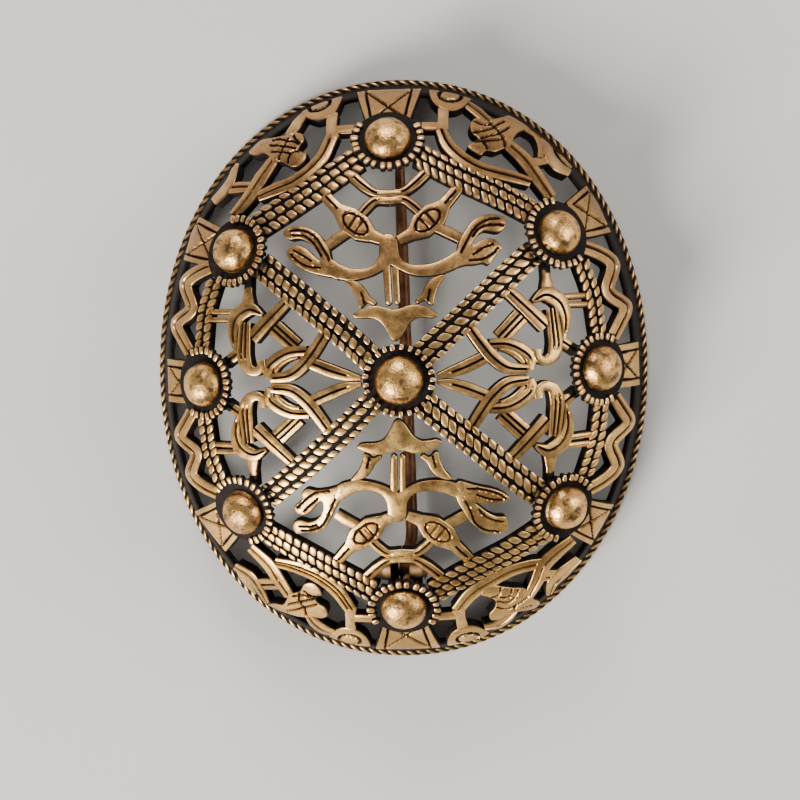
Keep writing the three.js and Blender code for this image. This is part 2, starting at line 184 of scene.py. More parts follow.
def places_along(points, lengths, at):
    """Points of a plan line at one length along it, or at several."""
    return np.stack([np.interp(at, lengths, points[:, k]) for k in (0, 1)], -1)


def smooth_step(low, high, value):
    t = np.clip((value - low) / (high - low), 0, 1)
    return t * t * (3 - 2 * t)


# ---- From the plan to the dome -----------------------------------------------------------


def settle(plan):
    """The bosses stand a little off their true places, and the straps lean with them."""
    total = 0
    shift = 0
    for true_place, stands, *_ in BOSSES:
        weight = (((plan - true_place) ** 2).sum(-1) + SETTLE_REACH**2) ** -1.5
        total = total + weight
        shift = shift + weight[..., None] * np.subtract(stands, true_place)
    return plan + shift / total[..., None]


def turn(p):
    return rotated(p[..., 0], p[..., 1], DESIGN_TURN)


def share(p):
    """How far out each point lies, as a share of the way to the dome's foot."""
    ratio = np.abs(p) / (OVAL_SEMI - DOME_INSET)
    return np.maximum((ratio**OVAL_POWER).sum(-1), 1e-12) ** (1 / OVAL_POWER)


def dome_height(p):
    return DOME_FOOT + DOME_RISE * np.sqrt(1 - np.minimum(share(p), 1) ** 2)


def dome_normal(p):
    eased = p * np.minimum(1, EASED_SLOPE / share(p))[..., None]
    near = 0.01
    slope_x = (dome_height(eased + [near, 0]) - dome_height(eased - [near, 0])) / (2 * near)
    slope_y = (dome_height(eased + [0, near]) - dome_height(eased - [0, near])) / (2 * near)
    return unit(np.stack([-slope_x, -slope_y, np.ones_like(slope_x)], -1))


def on_dome(plan, height):
    """Points of the plan raised onto the dome, and then out of it by height."""
    p = turn(settle(np.asarray(plan, float)))
    p = p * np.minimum(1, STEEPEST / share(p))[..., None]
    base = np.concatenate([p, dome_height(p)[..., None]], -1)
    return base + dome_normal(p) * np.asarray(height, float)[..., None]


# ---- Castings: many closed forms in one mesh ---------------------------------------------


class Casting:
    """Closed forms gathered for one object.

    Each point keeps its place in space and on the plan, its height over the dome, and
    its drop, which is how far it lies below its own form's top.
    """

    def __init__(self, name):
        self.name = name
        self.points = []
        self.plan = []
        self.height = []
        self.drop = []
        self.quads = []
        self.triangles = []
        self.count = 0

    def add(self, points, plan, height, drop, quads, triangles=None):
        self.points.append(points)
        self.plan.append(plan)
        self.height.append(height)
        self.drop.append(drop)
        self.quads.append(quads + self.count)
        if triangles is not None:
            self.triangles.append(triangles + self.count)
        self.count += len(points)

    def add_to_quarter(self, plan, height, drop, quads, triangles, signs):
        """Adds a form drawn in the upper right quarter to the quarter that signs name."""
        plan = plan * np.asarray(signs, float)
        if signs[0] * signs[1] < 0:
            quads = quads[:, ::-1]
            triangles = triangles[:, ::-1]
        self.add(on_dome(plan, height), plan, height, drop, quads, triangles)


def tube_faces(rings, sides, closed_loop=False):
    """Quads between rings of points; rings follow one another, sides close on themselves."""
    last = rings if closed_loop else rings - 1
    ring, side = np.meshgrid(np.arange(last), np.arange(sides), indexing="ij")
    here = ring * sides
    ahead = (ring + 1) % rings * sides
    next_side = (side + 1) % sides
    corners = [here + side, here + next_side, ahead + next_side, ahead + side]
    return np.stack([corner.ravel() for corner in corners], -1)


def end_fans(rings, sides):
    """Triangles that close the first and the last ring."""
    fan = np.arange(1, sides - 1)
    first = np.stack([np.zeros_like(fan), fan + 1, fan], -1)
    end = (rings - 1) * sides
    last = np.stack([np.zeros_like(fan), fan, fan + 1], -1) + end
    return np.concatenate([first, last])


def spline(path, u):
    """Centripetal Catmull-Rom through the path's points; u counts points from the first."""
    p = np.asarray(path, float)
    p = np.concatenate([[2 * p[0] - p[1]], p, [2 * p[-1] - p[-2]]])
    i = np.clip(np.floor(u).astype(int), 0, len(path) - 2)
    w = (u - i)[..., None]
    p0, p1, p2, p3 = p[i], p[i + 1], p[i + 2], p[i + 3]
    d0, d1, d2 = [
        np.maximum(np.linalg.norm(b - a, axis=-1, keepdims=True), 1e-4) ** 0.5
        for a, b in ((p0, p1), (p1, p2), (p2, p3))
    ]
    t1 = ((p1 - p0) / d0 - (p2 - p0) / (d0 + d1) + (p2 - p1) / d1) * d1
    t2 = ((p2 - p1) / d1 - (p3 - p1) / (d1 + d2) + (p3 - p2) / d2) * d1
    c2 = -3 * p1 + 3 * p2 - 2 * t1 - t2
    c3 = 2 * p1 - 2 * p2 + t1 + t2
    return p1 + t1 * w + c2 * w**2 + c3 * w**3


def walk(path, step):
    """Even steps along a path: plan points, unit directions, u and the length so far."""
    fine = np.linspace(0, len(path) - 1, 40 * (len(path) - 1) + 1)
    lengths = lengths_along(spline(path, fine))
    count = max(4, int(math.ceil(lengths[-1] / step)) + 1)
    along = np.linspace(0, lengths[-1], count)
    u = np.interp(along, lengths, fine)
    middle = spline(path, u)
    return middle, unit(np.gradient(middle, along, axis=0)), u, along


def smooth_line(path):
    return walk(path, 0.3)[0]


def distance_to(lines, p):
    """Distance from each point of p to the nearest of the polylines."""
    best = np.full(p.shape[:-1], 1e9)
    for line in lines:
        q = np.asarray(line, float)
        for a, b in zip(q[:-1], q[1:]):
            ab = b - a
            t = np.clip(((p - a) @ ab) / max(ab @ ab, 1e-9), 0, 1)
            best = np.minimum(best, np.linalg.norm(p - (a + t[..., None] * ab), axis=-1))
    return best


def carved(cuts, plan, groove, depth):
    """How far rounded grooves along the cuts lower each point of the plan."""
    return depth * np.clip(1 - (distance_to(cuts, plan) / (groove * CUT_REACH)) ** 2, 0, 1)


def oval_line(centre, semi_long, semi_short, tilt_deg):
    a = np.linspace(0, 2 * math.pi, 29)
    return centre + rotated(semi_long * np.cos(a), semi_short * np.sin(a), math.radians(tilt_deg))


# A cast wall from its foot to its rounded shoulder: how far under the form's top each
# ring lies, how wide it is on a strap, and how far in from the outline it is on a plate.
WALL_FALLS = (0.75, 0.32, 0.12, 0.02)
STRAP_WALL = (1.0, 1.02, 1.0, 0.985)
PLATE_WALL = (0.0, -0.02, 0.0, 0.04, 0.12)
PLATE_BEVEL = 0.22
GROOVE_SECTION = ((-1, 0), (-0.5, 0.75), (0, 1), (0.5, 0.75), (1, 0))  # shares of half width and depth


def grooved(flat, lines, groove, depth, run, fade):
    """Places across a strap, and how far grooves along it lower them."""
    stops, falls = [-1.0 + 0 * flat], [0.0]
    for before, line in zip((-1.0, *lines), (*lines, 1.0)):
        stops.append((before + line) / 2 + 0 * flat)
        falls.append(0.0)
        if line < 1.0:
            stops += [line + aside * groove / flat for aside, _ in GROOVE_SECTION]
            falls += [fall for _, fall in GROOVE_SECTION]
    stops.append(1.0 + 0 * flat)
    falls.append(0.0)
    across = np.clip(np.maximum.accumulate(np.stack(stops, 1), axis=1), -1, 1) * flat[:, None]
    shown = np.ones_like(run)
    if fade[0] > 0:
        shown = shown * smooth_step(fade[0] - FADE[0], fade[0] + FADE[1], run)
    if fade[1] < 1:
        shown = shown * (1 - smooth_step(fade[1] - FADE[1], fade[1] + FADE[0], run))
    return across, depth * np.array(falls) * shown[:, None]


def strap(casting, path, width, signs=(1, 1), level=0.0, lines=(), cuts=(), crown=0.1,
          top=STRAP_TOP, underside=UNDERSIDE, round_end=False, fade=(0.0, 1.0), depth=GROOVE_DEPTH,
          groove=GROOVE_HALF):
    """A cast strap along a plan path.

    width is one width, or several from start to end. lines are grooves that run along
    it, placed from -1 to 1 across, and seen between the two shares of its length in
    fade. cuts are grooves drawn freely on the plan, and are CUT_HALF wide.
    """
    middle, direction, u, along = walk(path, CARVED_STEP if len(cuts) else PLAIN_STEP)
    widths = np.atleast_1d(width)
    half = np.interp(u, np.linspace(0, len(path) - 1, len(widths)), widths) / 2
    high = top + level
    cut_down = np.zeros_like(half)
    if round_end:  # drawn in to a half round, and lowered
        near_end = np.clip(1 - (along[-1] - along) / (half * 0.95), 0, 0.985)
        half = half * np.sqrt(1 - near_end**2)
        cut_down = near_end**3 * (high - underside) * 0.25
    flat = np.maximum(half - SHOULDER, half * 0.4)
    if len(cuts):
        count = max(5, int(math.ceil(2 * flat.max() / FINE)) + 1)
        across, groove_fall = flat[:, None] * np.linspace(-1, 1, count), 0
    else:
        across, groove_fall = grooved(flat, lines, groove, depth, along / along[-1], fade)
    crowned = high + crown * (1 - (across / np.maximum(half, 1e-6)[:, None]) ** 2)
    surface = crowned - groove_fall - cut_down[:, None]

    left_x = np.stack([-half * k for k in STRAP_WALL] + [-(half + flat) / 2], 1)
    left_h = np.stack([underside + 0 * half] + [high - fall - cut_down for fall in WALL_FALLS], 1)
    ring_x = np.concatenate([left_x, across, -left_x[:, ::-1]], 1)
    ring_h = np.concatenate([left_h, surface, left_h[:, ::-1]], 1)
    plan = middle[:, None, :] + left_of(direction)[:, None, :] * ring_x[..., None]
    if len(cuts):
        span = slice(left_x.shape[1], -left_x.shape[1])
        ring_h[:, span] -= carved(cuts, plan[:, span], CUT_HALF, depth)
    drop = ring_h - (high + crown * 0.5 - cut_down[:, None])
    casting.add_to_quarter(plan.reshape(-1, 2), ring_h.ravel(), drop.ravel(),
                           tube_faces(*ring_h.shape)[:, ::-1], end_fans(*ring_h.shape)[:, ::-1], signs)


def closed_line(outline, step):
    """A smooth closed line through the outline's points, in even steps, counter-clockwise."""
    p = np.asarray(outline, float)
    lead = 3
    path = np.concatenate([p[-lead:], p, p[: lead + 1]])
    fine = spline(path, np.linspace(lead, lead + len(p), 24 * len(p) + 1))
    lengths = lengths_along(fine)
    count = max(12, int(round(lengths[-1] / step)))
    line = places_along(fine, lengths, np.arange(count) / count * lengths[-1])
    return line if turns_left(line) else line[::-1]


def inside(ring, p):
    """Which points lie within a closed ring."""
    within = np.zeros(len(p), bool)
    for a, b in zip(ring, np.roll(ring, -1, 0)):
        spans = (a[1] > p[:, 1]) != (b[1] > p[:, 1])
        if spans.any():
            x = a[0] + (p[:, 1] - a[1]) / (b[1] - a[1] + 1e-12) * (b[0] - a[0])
            within ^= spans & (p[:, 0] < x)
    return within


def filled(ring, extra):
    """Triangles that fill a ring and pass through the extra points, and any points added."""
    points = [Vector(q) for q in np.concatenate([ring, extra])]
    count = len(ring)
    edges = [(i, (i + 1) % count) for i in range(count)]
    verts, _, faces, origin, _, _ = delaunay_2d_cdt(points, edges, [], 1, 1e-6)
    added = []
    index = []
    for v, came_from in zip(verts, origin):
        if came_from:
            index.append(came_from[0])
        else:
            index.append(len(points) + len(added))
            added.append([v.x, v.y])
    triangles = []
    for face in faces:
        corners = [index[i] for i in face]
        triangles += [[corners[0], corners[k], corners[k + 1]] for k in range(1, len(corners) - 1)]
    return np.array(triangles), np.array(added).reshape(-1, 2)


def plate(casting, outline, signs, cuts=(), level=0.0, crown=0.12, depth=GROOVE_DEPTH,
          groove=CUT_HALF, step=0.2):
    """A cast plate with a smooth outline on the plan, bevelled edges and carved lines."""
    line = closed_line(outline, step)
    sides = len(line)
    inward = left_of(unit(np.roll(line, -1, 0) - np.roll(line, 1, 0)))
    edge = line + inward * PLATE_BEVEL
    closed_edge = [np.concatenate([edge, edge[:1]])]

    # Near-equal triangles fill the plate inside its bevelled edge.
    low, far = edge.min(0), edge.max(0)
    x, y = np.meshgrid(np.arange(low[0], far[0], step), np.arange(low[1], far[1], step * 0.87))
    x = x + np.where(np.arange(len(x)) % 2, step / 2, 0)[:, None]
    spots = np.stack([x.ravel(), y.ravel()], -1)
    spots = spots[inside(edge, spots)]
    spots = spots[distance_to(closed_edge, spots) > step * 0.45]
    triangles, added = filled(edge, spots)
    surface = np.concatenate([edge, spots, added])

    high = STRAP_TOP + level
    rise = crown * (1 - np.exp(-distance_to(closed_edge, surface) / CROWN_REACH))
    wall = np.repeat([UNDERSIDE, *(high - fall for fall in WALL_FALLS)], sides)
    height = np.concatenate([wall, high + rise - carved(cuts, surface, groove, depth)])
    plan = np.concatenate([*(line + inward * inset for inset in PLATE_WALL), surface])
    underneath, _ = filled(line, np.zeros((0, 2)))
    underneath = underneath[(underneath < sides).all(1)][:, ::-1]
    casting.add_to_quarter(plan, height, height - (high + crown), tube_faces(len(PLATE_WALL) + 1, sides),
                           np.concatenate([triangles + len(wall), underneath]), signs)


# ---- Beads -------------------------------------------------------------------------------

TILE_SIDES = 20
TILE_POWER = 3.3
TILE_SKIRT = 0.45  # how far a tile reaches down into what carries it
ROW_TRIM = 0.3  # left free at both ends of a row
TILE_SECTION = ((1.0, 0.15), (0.985, 0.66), (0.93, 0.9), (0.74, 0.985))  # shares of reach and rise


def tile(long_half, short_half, rise, base, lean=0.0):
    """A flat-topped tile on level ground: x, y, heights, drops and faces."""
    x, y = superoval(angles_round(TILE_SIDES), TILE_POWER)
    y = y * short_half
    x = x * long_half + lean * y
    reach = [1.0, *(k for k, _ in TILE_SECTION)]
    heights = [base - TILE_SKIRT, *(base + rise * v for _, v in TILE_SECTION)]
    x = np.append(np.outer(reach, x), 0)
    y = np.append(np.outer(reach, y), 0)
    height = np.append(np.repeat(heights, TILE_SIDES), base + rise)
    middle = len(x) - 1
    ring = np.arange(middle - TILE_SIDES, middle)
    cap = np.stack([ring, np.roll(ring, -1), np.full(TILE_SIDES, middle)], -1)
    return x, y, height, height - (base + rise), tube_faces(len(reach), TILE_SIDES), cap


def beside(path, aside, hand):
    """A path moved aside: to the left of its true heading, by one distance or several."""
    u = np.linspace(0, len(path) - 1, 25)
    line = spline(path, u)
    moved = np.interp(u, np.linspace(0, len(path) - 1, np.size(aside)), np.atleast_1d(aside)) * hand
    line = line + left_of(unit(np.gradient(line, axis=0))) * moved[:, None]
    return line[::4]


def tile_row(casting, path, signs, pitch, size, lean, base, rise, rng):
    """Slanted tiles along a path, nearly touching.

    Each differs a little in its place, length, width, turn, height and lean.
    """
    line = walk(path, 0.2)[0] * np.asarray(signs, float)
    lengths = lengths_along(line)
    room = lengths[-1] - 2 * ROW_TRIM
    count = int(room / pitch)
    for k in range(count):
        at = ROW_TRIM + (k + 0.5) * room / count + rng.normal(0, 0.05)
        ahead = places_along(line, lengths, at + 0.3) - places_along(line, lengths, at - 0.3)
        long_half = (size[0] + 0.02) / 2 * rng.normal(1, 0.035)
        short_half = size[1] / 2 * rng.normal(1, 0.045)
        angle = math.atan2(ahead[1], ahead[0]) + rng.normal(0, 0.04)
        x, y, height, drop, quads, cap = tile(
            long_half, short_half, rise * rng.normal(1, 0.03), base, lean + rng.normal(0, 0.07))
        plan = places_along(line, lengths, at) + rotated(x, y, angle)
        casting.add(on_dome(plan, height), plan, height, drop, quads, cap)


# ---- Bosses ------------------------------------------------------------------------------

BOSS_SIDES = 72
BOSS_RINGS = 18
# Radius and height of the collar's outer rings.
COLLAR_SECTION = [
    (0.01, COLLAR_UNDERSIDE), (COLLAR_RADIUS - 1.1, COLLAR_UNDERSIDE), (COLLAR_RADIUS, COLLAR_TOP - 0.7),
    (COLLAR_RADIUS - 0.12, COLLAR_FLOOR), (COLLAR_RADIUS - 0.4, COLLAR_FLOOR + 0.08),
]


def add_at_boss(casting, true_place, stands, x, y, height, drop, quads, triangles):
    """Adds a form given across and above a boss's foot, square to the dome there."""
    p = turn(np.asarray(stands, float))
    axis = dome_normal(p)
    across = unit(np.cross([0.0, 1.0, 0.0], axis))
    foot = np.array([*p, dome_height(p)])
    points = foot + x[..., None] * across + y[..., None] * np.cross(axis, across) + height[..., None] * axis
    plan = np.asarray(true_place, float) + np.stack([x, y], -1)
    casting.add(points.reshape(-1, 3), plan.reshape(-1, 2), height.ravel(), drop.ravel(), quads, triangles)


def boss(casting, true_place, stands, radius, nudge, rng):
    """A collar and its dented dome. nudge moves the dome alone."""
    collar = [*COLLAR_SECTION, (radius + 0.5, COLLAR_FLOOR), (radius + 0.1, COLLAR_FLOOR)]
    profile = [(*point, 0) for point in collar]  # the last value is 1 on the dome
    # The dome is a little fuller than a quarter round.
    for k in range(1, BOSS_RINGS + 1):
        a = k / BOSS_RINGS * math.pi / 2
        reach = max(radius * 1.02 * math.cos(a) ** 0.9, 0.01)
        profile.append((reach, BOSS_FOOT + (BOSS_TOP - BOSS_FOOT) * math.sin(a) ** 0.88, 1))
    reach, height, domed = np.array(profile).T[..., None]
    a = angles_round(BOSS_SIDES)
    dents = sum(rng.normal(0, 0.009) * np.cos(k * a + rng.uniform(0, 6.28)) for k in (2, 3, 4, 5))
    reach = reach * (1 + dents * domed)
    x = reach * np.cos(a) + nudge[0] * domed
    y = reach * np.sin(a) + nudge[1] * domed
    drop = np.where(domed > 0, -0.4 * (1 - smooth_step(BOSS_FOOT, BOSS_FOOT + 0.6, height)), -0.6)
    size = len(profile), BOSS_SIDES
    height, drop = np.broadcast_to(height, size), np.broadcast_to(drop, size)
    add_at_boss(casting, true_place, stands, x, y, height, drop, tube_faces(*size), end_fans(*size))


def boss_beads(casting, true_place, stands, middle_deg, span_deg, rng):
    """The part of a ring of beads that shows round a boss, each a little off its place."""
    full_ring = AXIS_BEADS if true_place[0] == 0 else OTHER_BEADS
    typical = CENTRE_BEAD_SIZE if span_deg == 180 else BEAD_SIZE
    count = round(full_ring * span_deg / 180)
    for k in range(count):
        turned = (k + 0.5) / count * 2 - 1
        angle = math.radians(middle_deg + turned * span_deg + rng.normal(0, 1.0))
        ring = BEAD_RING + rng.normal(0, 0.04)
        size = rng.normal(typical, 0.05)
        x, y, height, drop, quads, cap = tile(
            BEAD_HALF_LONG * size, BEADS_HALF_ROUND / full_ring * size, BEAD_RISE, COLLAR_FLOOR)
        x, y = rotated(ring + x, y, angle).T
        add_at_boss(casting, true_place, stands, x, y, height, drop, quads, cap)


# ---- The quarter design ------------------------------------------------------------------
# Points are [x, y] of the upper right quarter.


def row(path, width, **options):
    return path, width, options


CENTRE_BAND = [[3.6, 3.8], [8, 7.5], [12.6, 11.3], [17.6, 15.6], [22.8, 19.9]]
END_BAND = [[4.8, 36.5], [10.1, 33.3], [15.1, 30.5], [19.7, 28], [23, 26.1]]
SIDE_BAND = [[30.4, 17.6], [32.2, 12], [33.1, 5.4]]

EYE = ((5.95, 25.75), 2.35, 1.3, 38)  # centre, half length, half width, tilt
EYE_BARS = (-0.72, 0.62)  # where two lines cross it, from its centre


def eye_cuts():
    centre, half_long, half_wide, tilt = EYE
    cuts = [oval_line(centre, half_long, half_wide, tilt)]
    for along in EYE_BARS:
        reach = half_wide * math.sqrt(1 - (along / half_long) ** 2)
        cuts.append(centre + rotated(along, np.array([-reach, reach]), math.radians(tilt)))
    return cuts


MASK = [
    row([[0, 30.5], [2.3, 30.65], [4.2, 31.9], [6.3, 33.8]], [1.0, 1.3, 1.75, 1.8],
        lines=[0.0], fade=(0.3, 1), level=0.05),
    row([[0, 29.3], [2.3, 29.4], [3.7, 28.5], [5.1, 27.1]], [1.25, 1.35, 1.6, 1.5],
        lines=[0.0], fade=(0.35, 1), level=0.0),
    row([[1, 22.8], [3.1, 23.7], [4.9, 24.9], [7.2, 26.7], [8.9, 28.4], [11, 30.7]],
        [1.5, 2.1, 4.2, 4.25, 2.1, 1.9], cuts=[*eye_cuts(), smooth_line([[8.9, 28.4], [10.7, 30.3]])],
        level=0.03, crown=0.12),
    row([[7.4, 24.6], [9.2, 23.7], [11.0, 22.6]], [1.6, 1.8, 1.7], level=-0.15),
]

LEG = [[7.9, 16.9], [6.0, 16.3], [5.0, 15.3], [4.2, 13.9], [3.2, 12.9], [3.6, 12.4], [4.7, 12.9],
       [5.5, 12.2], [6.1, 12.1], [6.5, 13.6], [7.3, 15.2], [8.4, 16.7]]
LEG_CUTS = [[[5.65, 14.5], [5.1, 12.4]]]

# The hand at the end of each arm: palm, hooked upper finger and lower finger, then its lines.
HANDS = {
    (1, 1): (
        [[9.4, 19.6], [10.3, 20.7], [10.6, 21.7], [11.1, 22.8], [11.9, 24.0], [12.8, 25.1], [14.1, 25.9],
         [15.7, 26.1], [17.0, 25.9], [18.1, 25.4], [18.4, 24.5], [18.0, 23.5], [17.1, 23.0], [16.0, 23.2],
         [14.8, 23.4], [13.9, 22.9], [13.2, 22.1], [12.7, 21.2], [13.8, 21.8], [15.2, 22.2], [16.4, 22.0],
         [17.2, 21.2], [17.6, 20.4], [17.0, 19.8], [16.2, 18.8], [15.4, 17.9], [14.6, 18.2], [13.2, 18.1],
         [11.8, 18.1], [10.6, 17.9], [9.4, 17.5], [9.0, 18.6]],
        [[[10.7, 19.7], [11.6, 21.3], [12.6, 23.1], [13.9, 24.5], [15.6, 25.2], [17.2, 25.2]],
         [[12.9, 22.6], [13.9, 23.8], [15.4, 24.3], [17.8, 24.1]],
         [[12.9, 19.7], [14.4, 20.6], [16.1, 21.1]],
         [[12.3, 18.8], [14.4, 18.9], [16.0, 19.6], [16.9, 20.5]]],
    ),
    (-1, 1): (
        [[9.4, 19.4], [10.3, 20.4], [10.6, 21.9], [11.3, 23.2], [12.4, 24.6], [13.9, 25.6], [15.8, 26.1],
         [17.5, 25.9], [18.5, 25.3], [18.3, 24.4], [17.3, 23.9], [15.9, 24.0], [14.6, 23.5], [13.3, 22.4],
         [12.4, 21.0], [12.2, 20.2], [13.2, 21.0], [14.6, 22.3], [16.2, 23.0], [17.5, 22.6], [18.0, 21.6],
         [17.4, 20.5], [16.0, 19.4], [14.0, 18.3], [12.0, 17.7], [10.4, 17.3], [9.3, 16.9], [8.9, 18.2]],
        [[[10.4, 19.4], [11.4, 21.6], [12.6, 23.6], [14.2, 24.9], [16.2, 25.4], [17.3, 25.3]],
         [[12.0, 20.9], [13.2, 23.0], [14.9, 24.4], [17.0, 24.6]],
         [[13.8, 20.2], [15.2, 21.2], [16.8, 22.1]],
         [[12.3, 19.0], [14.5, 19.4], [16.3, 20.5], [17.2, 21.5]]],
    ),
    (1, -1): (
        [[8.9, 19.4], [9.4, 20.8], [10.2, 22.2], [11.0, 23.6], [12.2, 25.0], [13.6, 26.0], [15.2, 26.3],
         [16.6, 26.1], [17.4, 25.4], [17.5, 24.3], [17.2, 23.3], [15.6, 23.1], [14.2, 22.4], [13.1, 21.5],
         [12.3, 20.8], [13.2, 20.9], [14.8, 21.1], [16.4, 20.8], [17.6, 20.5], [17.9, 20.0], [17.0, 19.2],
         [15.2, 18.4], [13.0, 17.9], [11.2, 17.4], [9.6, 17.0], [8.6, 17.9]],
        [[[9.1, 18.5], [10.6, 20.6], [11.5, 22.6], [12.1, 24.2], [13.6, 25.4], [16.0, 25.8]],
         [[12.7, 21.9], [13.8, 23.1], [15.2, 23.8], [16.7, 24.1]],
         [[12.5, 19.4], [14.6, 20.1], [16.6, 20.3]],
         [[10.9, 18.3], [13.6, 18.5], [16.0, 19.3], [17.2, 20.1]]],
    ),
    (-1, -1): (
        [[9.2, 19.0], [10.4, 20.6], [11.2, 22.0], [12.0, 23.6], [12.9, 25.0], [14.4, 25.8], [16.2, 26.0],
         [17.8, 26.2], [18.4, 25.2], [18.2, 24.2], [17.2, 23.7], [15.8, 24.0], [14.4, 23.6], [13.5, 22.6],
         [13.1, 21.2], [13.3, 20.4], [14.2, 21.2], [15.2, 22.3], [16.4, 22.9], [17.6, 22.6], [18.0, 21.6],
         [17.3, 20.8], [16.5, 20.0], [16.7, 19.2], [15.9, 18.3], [14.2, 18.5], [12.2, 18.2], [10.4, 17.6],
         [9.2, 17.0], [8.7, 17.9]],
        [[[10.2, 18.2], [11.4, 20.8], [12.2, 22.6], [13.2, 24.4], [14.8, 25.3], [16.8, 25.5]],
         [[14.3, 24.5], [15.4, 24.8], [17.2, 24.8]],
         [[13.9, 19.9], [15.1, 21.0], [16.3, 22.1]],
         [[11.9, 18.5], [14.2, 18.9], [16.0, 20.2], [17.3, 21.6]]],
    ),
}

NOSE_AND_ARMS = [
    [-0.7, 23.95], [0.25, 23.7], [0.8, 22.9], [0.9, 21.5], [1.05, 20.4], [1.6, 19.5], [2.5, 18.95],
    [3.8, 18.7], [5.5, 18.7], [7.3, 19.1], [8.9, 19.8], [10.3, 20.5], [11.3, 19.6], [10.6, 18.0],
    [9.0, 17.3], [7.5, 16.9], [5.5, 16.75], [3.6, 16.9], [2.0, 17.4], [0.5, 18.2], [-0.65, 18.8],
    [-1.8, 18.1], [-3.6, 17.3], [-5.5, 16.8], [-7.5, 16.6], [-9.0, 16.9], [-10.6, 17.6], [-11.3, 19.3],
    [-10.3, 20.3], [-8.9, 19.4], [-7.3, 18.7], [-5.5, 18.5], [-4.0, 18.8], [-3.0, 19.5], [-2.45, 20.5],
    [-2.3, 21.6], [-2.2, 22.9], [-1.6, 23.7],
]

MOUSTACHE = [
    [-0.5, 11.65], [0.6, 11.75], [2.0, 12.2], [3.4, 12.25], [5.0, 11.8], [6.3, 11.0], [6.8, 10.4],
    [6.0, 9.95], [4.8, 10.1], [3.5, 10.1], [2.4, 9.5], [1.6, 8.6], [0.9, 7.4], [0.2, 6.7], [-0.45, 6.4],
    [-1.1, 6.8], [-1.75, 8.1], [-2.5, 9.3], [-3.3, 10.0], [-4.4, 10.3], [-5.6, 10.3], [-6.9, 10.5],
    [-7.3, 11.0], [-5.9, 11.8], [-4.4, 12.3], [-3.0, 12.3], [-1.7, 11.95],
]

NOSE_BARS = [
    row([[FACE_ASIDE - 0.78, 18.9], [FACE_ASIDE - 0.8, 15.4], [FACE_ASIDE - 0.72, 12.3]], [1.3, 1.25, 1.1],
        level=-0.15, round_end=True, crown=0.15),
    row([[FACE_ASIDE + 0.68, 18.9], [FACE_ASIDE + 0.66, 15.4], [FACE_ASIDE + 0.7, 12.3]], [1.1, 1.05, 1.0],
        level=-0.15, round_end=True, crown=0.15),
]

KNOT = [
    row([[6.3, 0.5], [8.5, 0.95], [11.0, 1.75], [14.4, 3.2]], [0.8, 1.8, 2.2, 2.1], lines=[0.0], level=-0.1,
        fade=(0.3, 1)),
    row([[11.7, 8.3], [13.6, 5.5], [15.6, 3.0], [17.9, 1.3], [21.2, 0.85]], [1.9, 2.1, 2.2, 2.1, 1.5],
        lines=[0.0], level=0.22, fade=(0.0, 0.97)),
    row([[15.0, 5.3], [17.9, 5.15], [20.3, 4.0], [21.7, 2.6], [21.6, 0.8]], [1.6, 1.9, 2.1, 1.9, 1.3],
        lines=[-0.1], level=0.1, fade=(0.0, 0.8)),
    row([[16.6, 4.3], [18.2, 4.0], [19.6, 3.1], [20.5, 1.9]], [0.6, 1.1, 1.1, 0.7], level=0.0, crown=0.15),
    row([[16.9, 6.1], [20.4, 9.4]], [2.8, 2.9], lines=[-0.33, 0.33], level=-0.15),
    row([[18.1, 13.7], [21.1, 10.8], [24.3, 7.6]], [1.9, 2.2, 2.5], lines=[0.0], level=0.08),
    row([[25.3, 10.3], [25.6, 7.0], [25.7, 4.2], [25.0, 2.5], [23.7, 2.05], [22.8, 2.7], [22.8, 4.0]],
        [1.9, 2.2, 2.4, 2.0, 1.6, 1.4, 1.4], lines=[-0.34, 0.36], fade=(0.0, 0.5), level=0.28, crown=0.12),
    row([[22.3, 11.6], [24.5, 12.6], [26.7, 11.4], [27.6, 9.2], [27.5, 7.0], [27.1, 5.2]],
        [0.7, 2.5, 2.7, 2.0, 1.3, 0.6], lines=[-0.1], level=0.05, fade=(0.06, 0.85)),
    row([[24.7, 18.2], [24.8, 15.4], [24.9, 13.2]], [1.4, 1.4, 2.4], level=-0.1),
    row([[27.4, 12.1], [31.6, 12.1]], 0.95, level=-0.12, crown=0.12),
    row([[27.4, 10.8], [31.6, 10.7]], 0.95, level=-0.12, crown=0.12),
    row([[26.4, 5.4], [29.4, 3.2]], 1.8, lines=[0.0], level=0.0),
]

WAVE = [
    row([[31.0, 19.8], [33.4, 18.8], [35.3, 17.6], [36.0, 16.6], [35.85, 15.5], [35.1, 13.7], [34.9, 12.7],
         [35.5, 11.75], [37.1, 10.6], [37.85, 9.8], [37.8, 8.95], [36.9, 7.4], [35.4, 4.9]],
        [2.2, 2.3, 2.3, 2.4, 2.3, 2.2, 2.3, 2.3, 2.2, 2.3, 2.3, 2.2, 2.1],
        lines=[0.2], level=0.1, groove=0.29, depth=0.7),
]

HEAD = [[6.8, 47.5], [8.4, 47.5], [10.4, 47.2], [12.3, 46.5], [13.8, 45.6], [13.2, 44.8], [12.2, 44.0],
        [11.0, 43.6], [9.6, 43.7], [8.3, 44.3], [7.4, 45.2], [6.9, 46.3]]
HEAD_FURTHER_ROUND = [
    [7.9, 46.6], [8.9, 46.9], [10.2, 46.7], [12.0, 46.5], [13.6, 45.9], [15.1, 44.8], [14.8, 43.9],
    [13.6, 43.2], [12.2, 42.8], [11.0, 43.0], [9.8, 43.4], [9.0, 43.9], [8.5, 44.8], [8.1, 45.8],
]
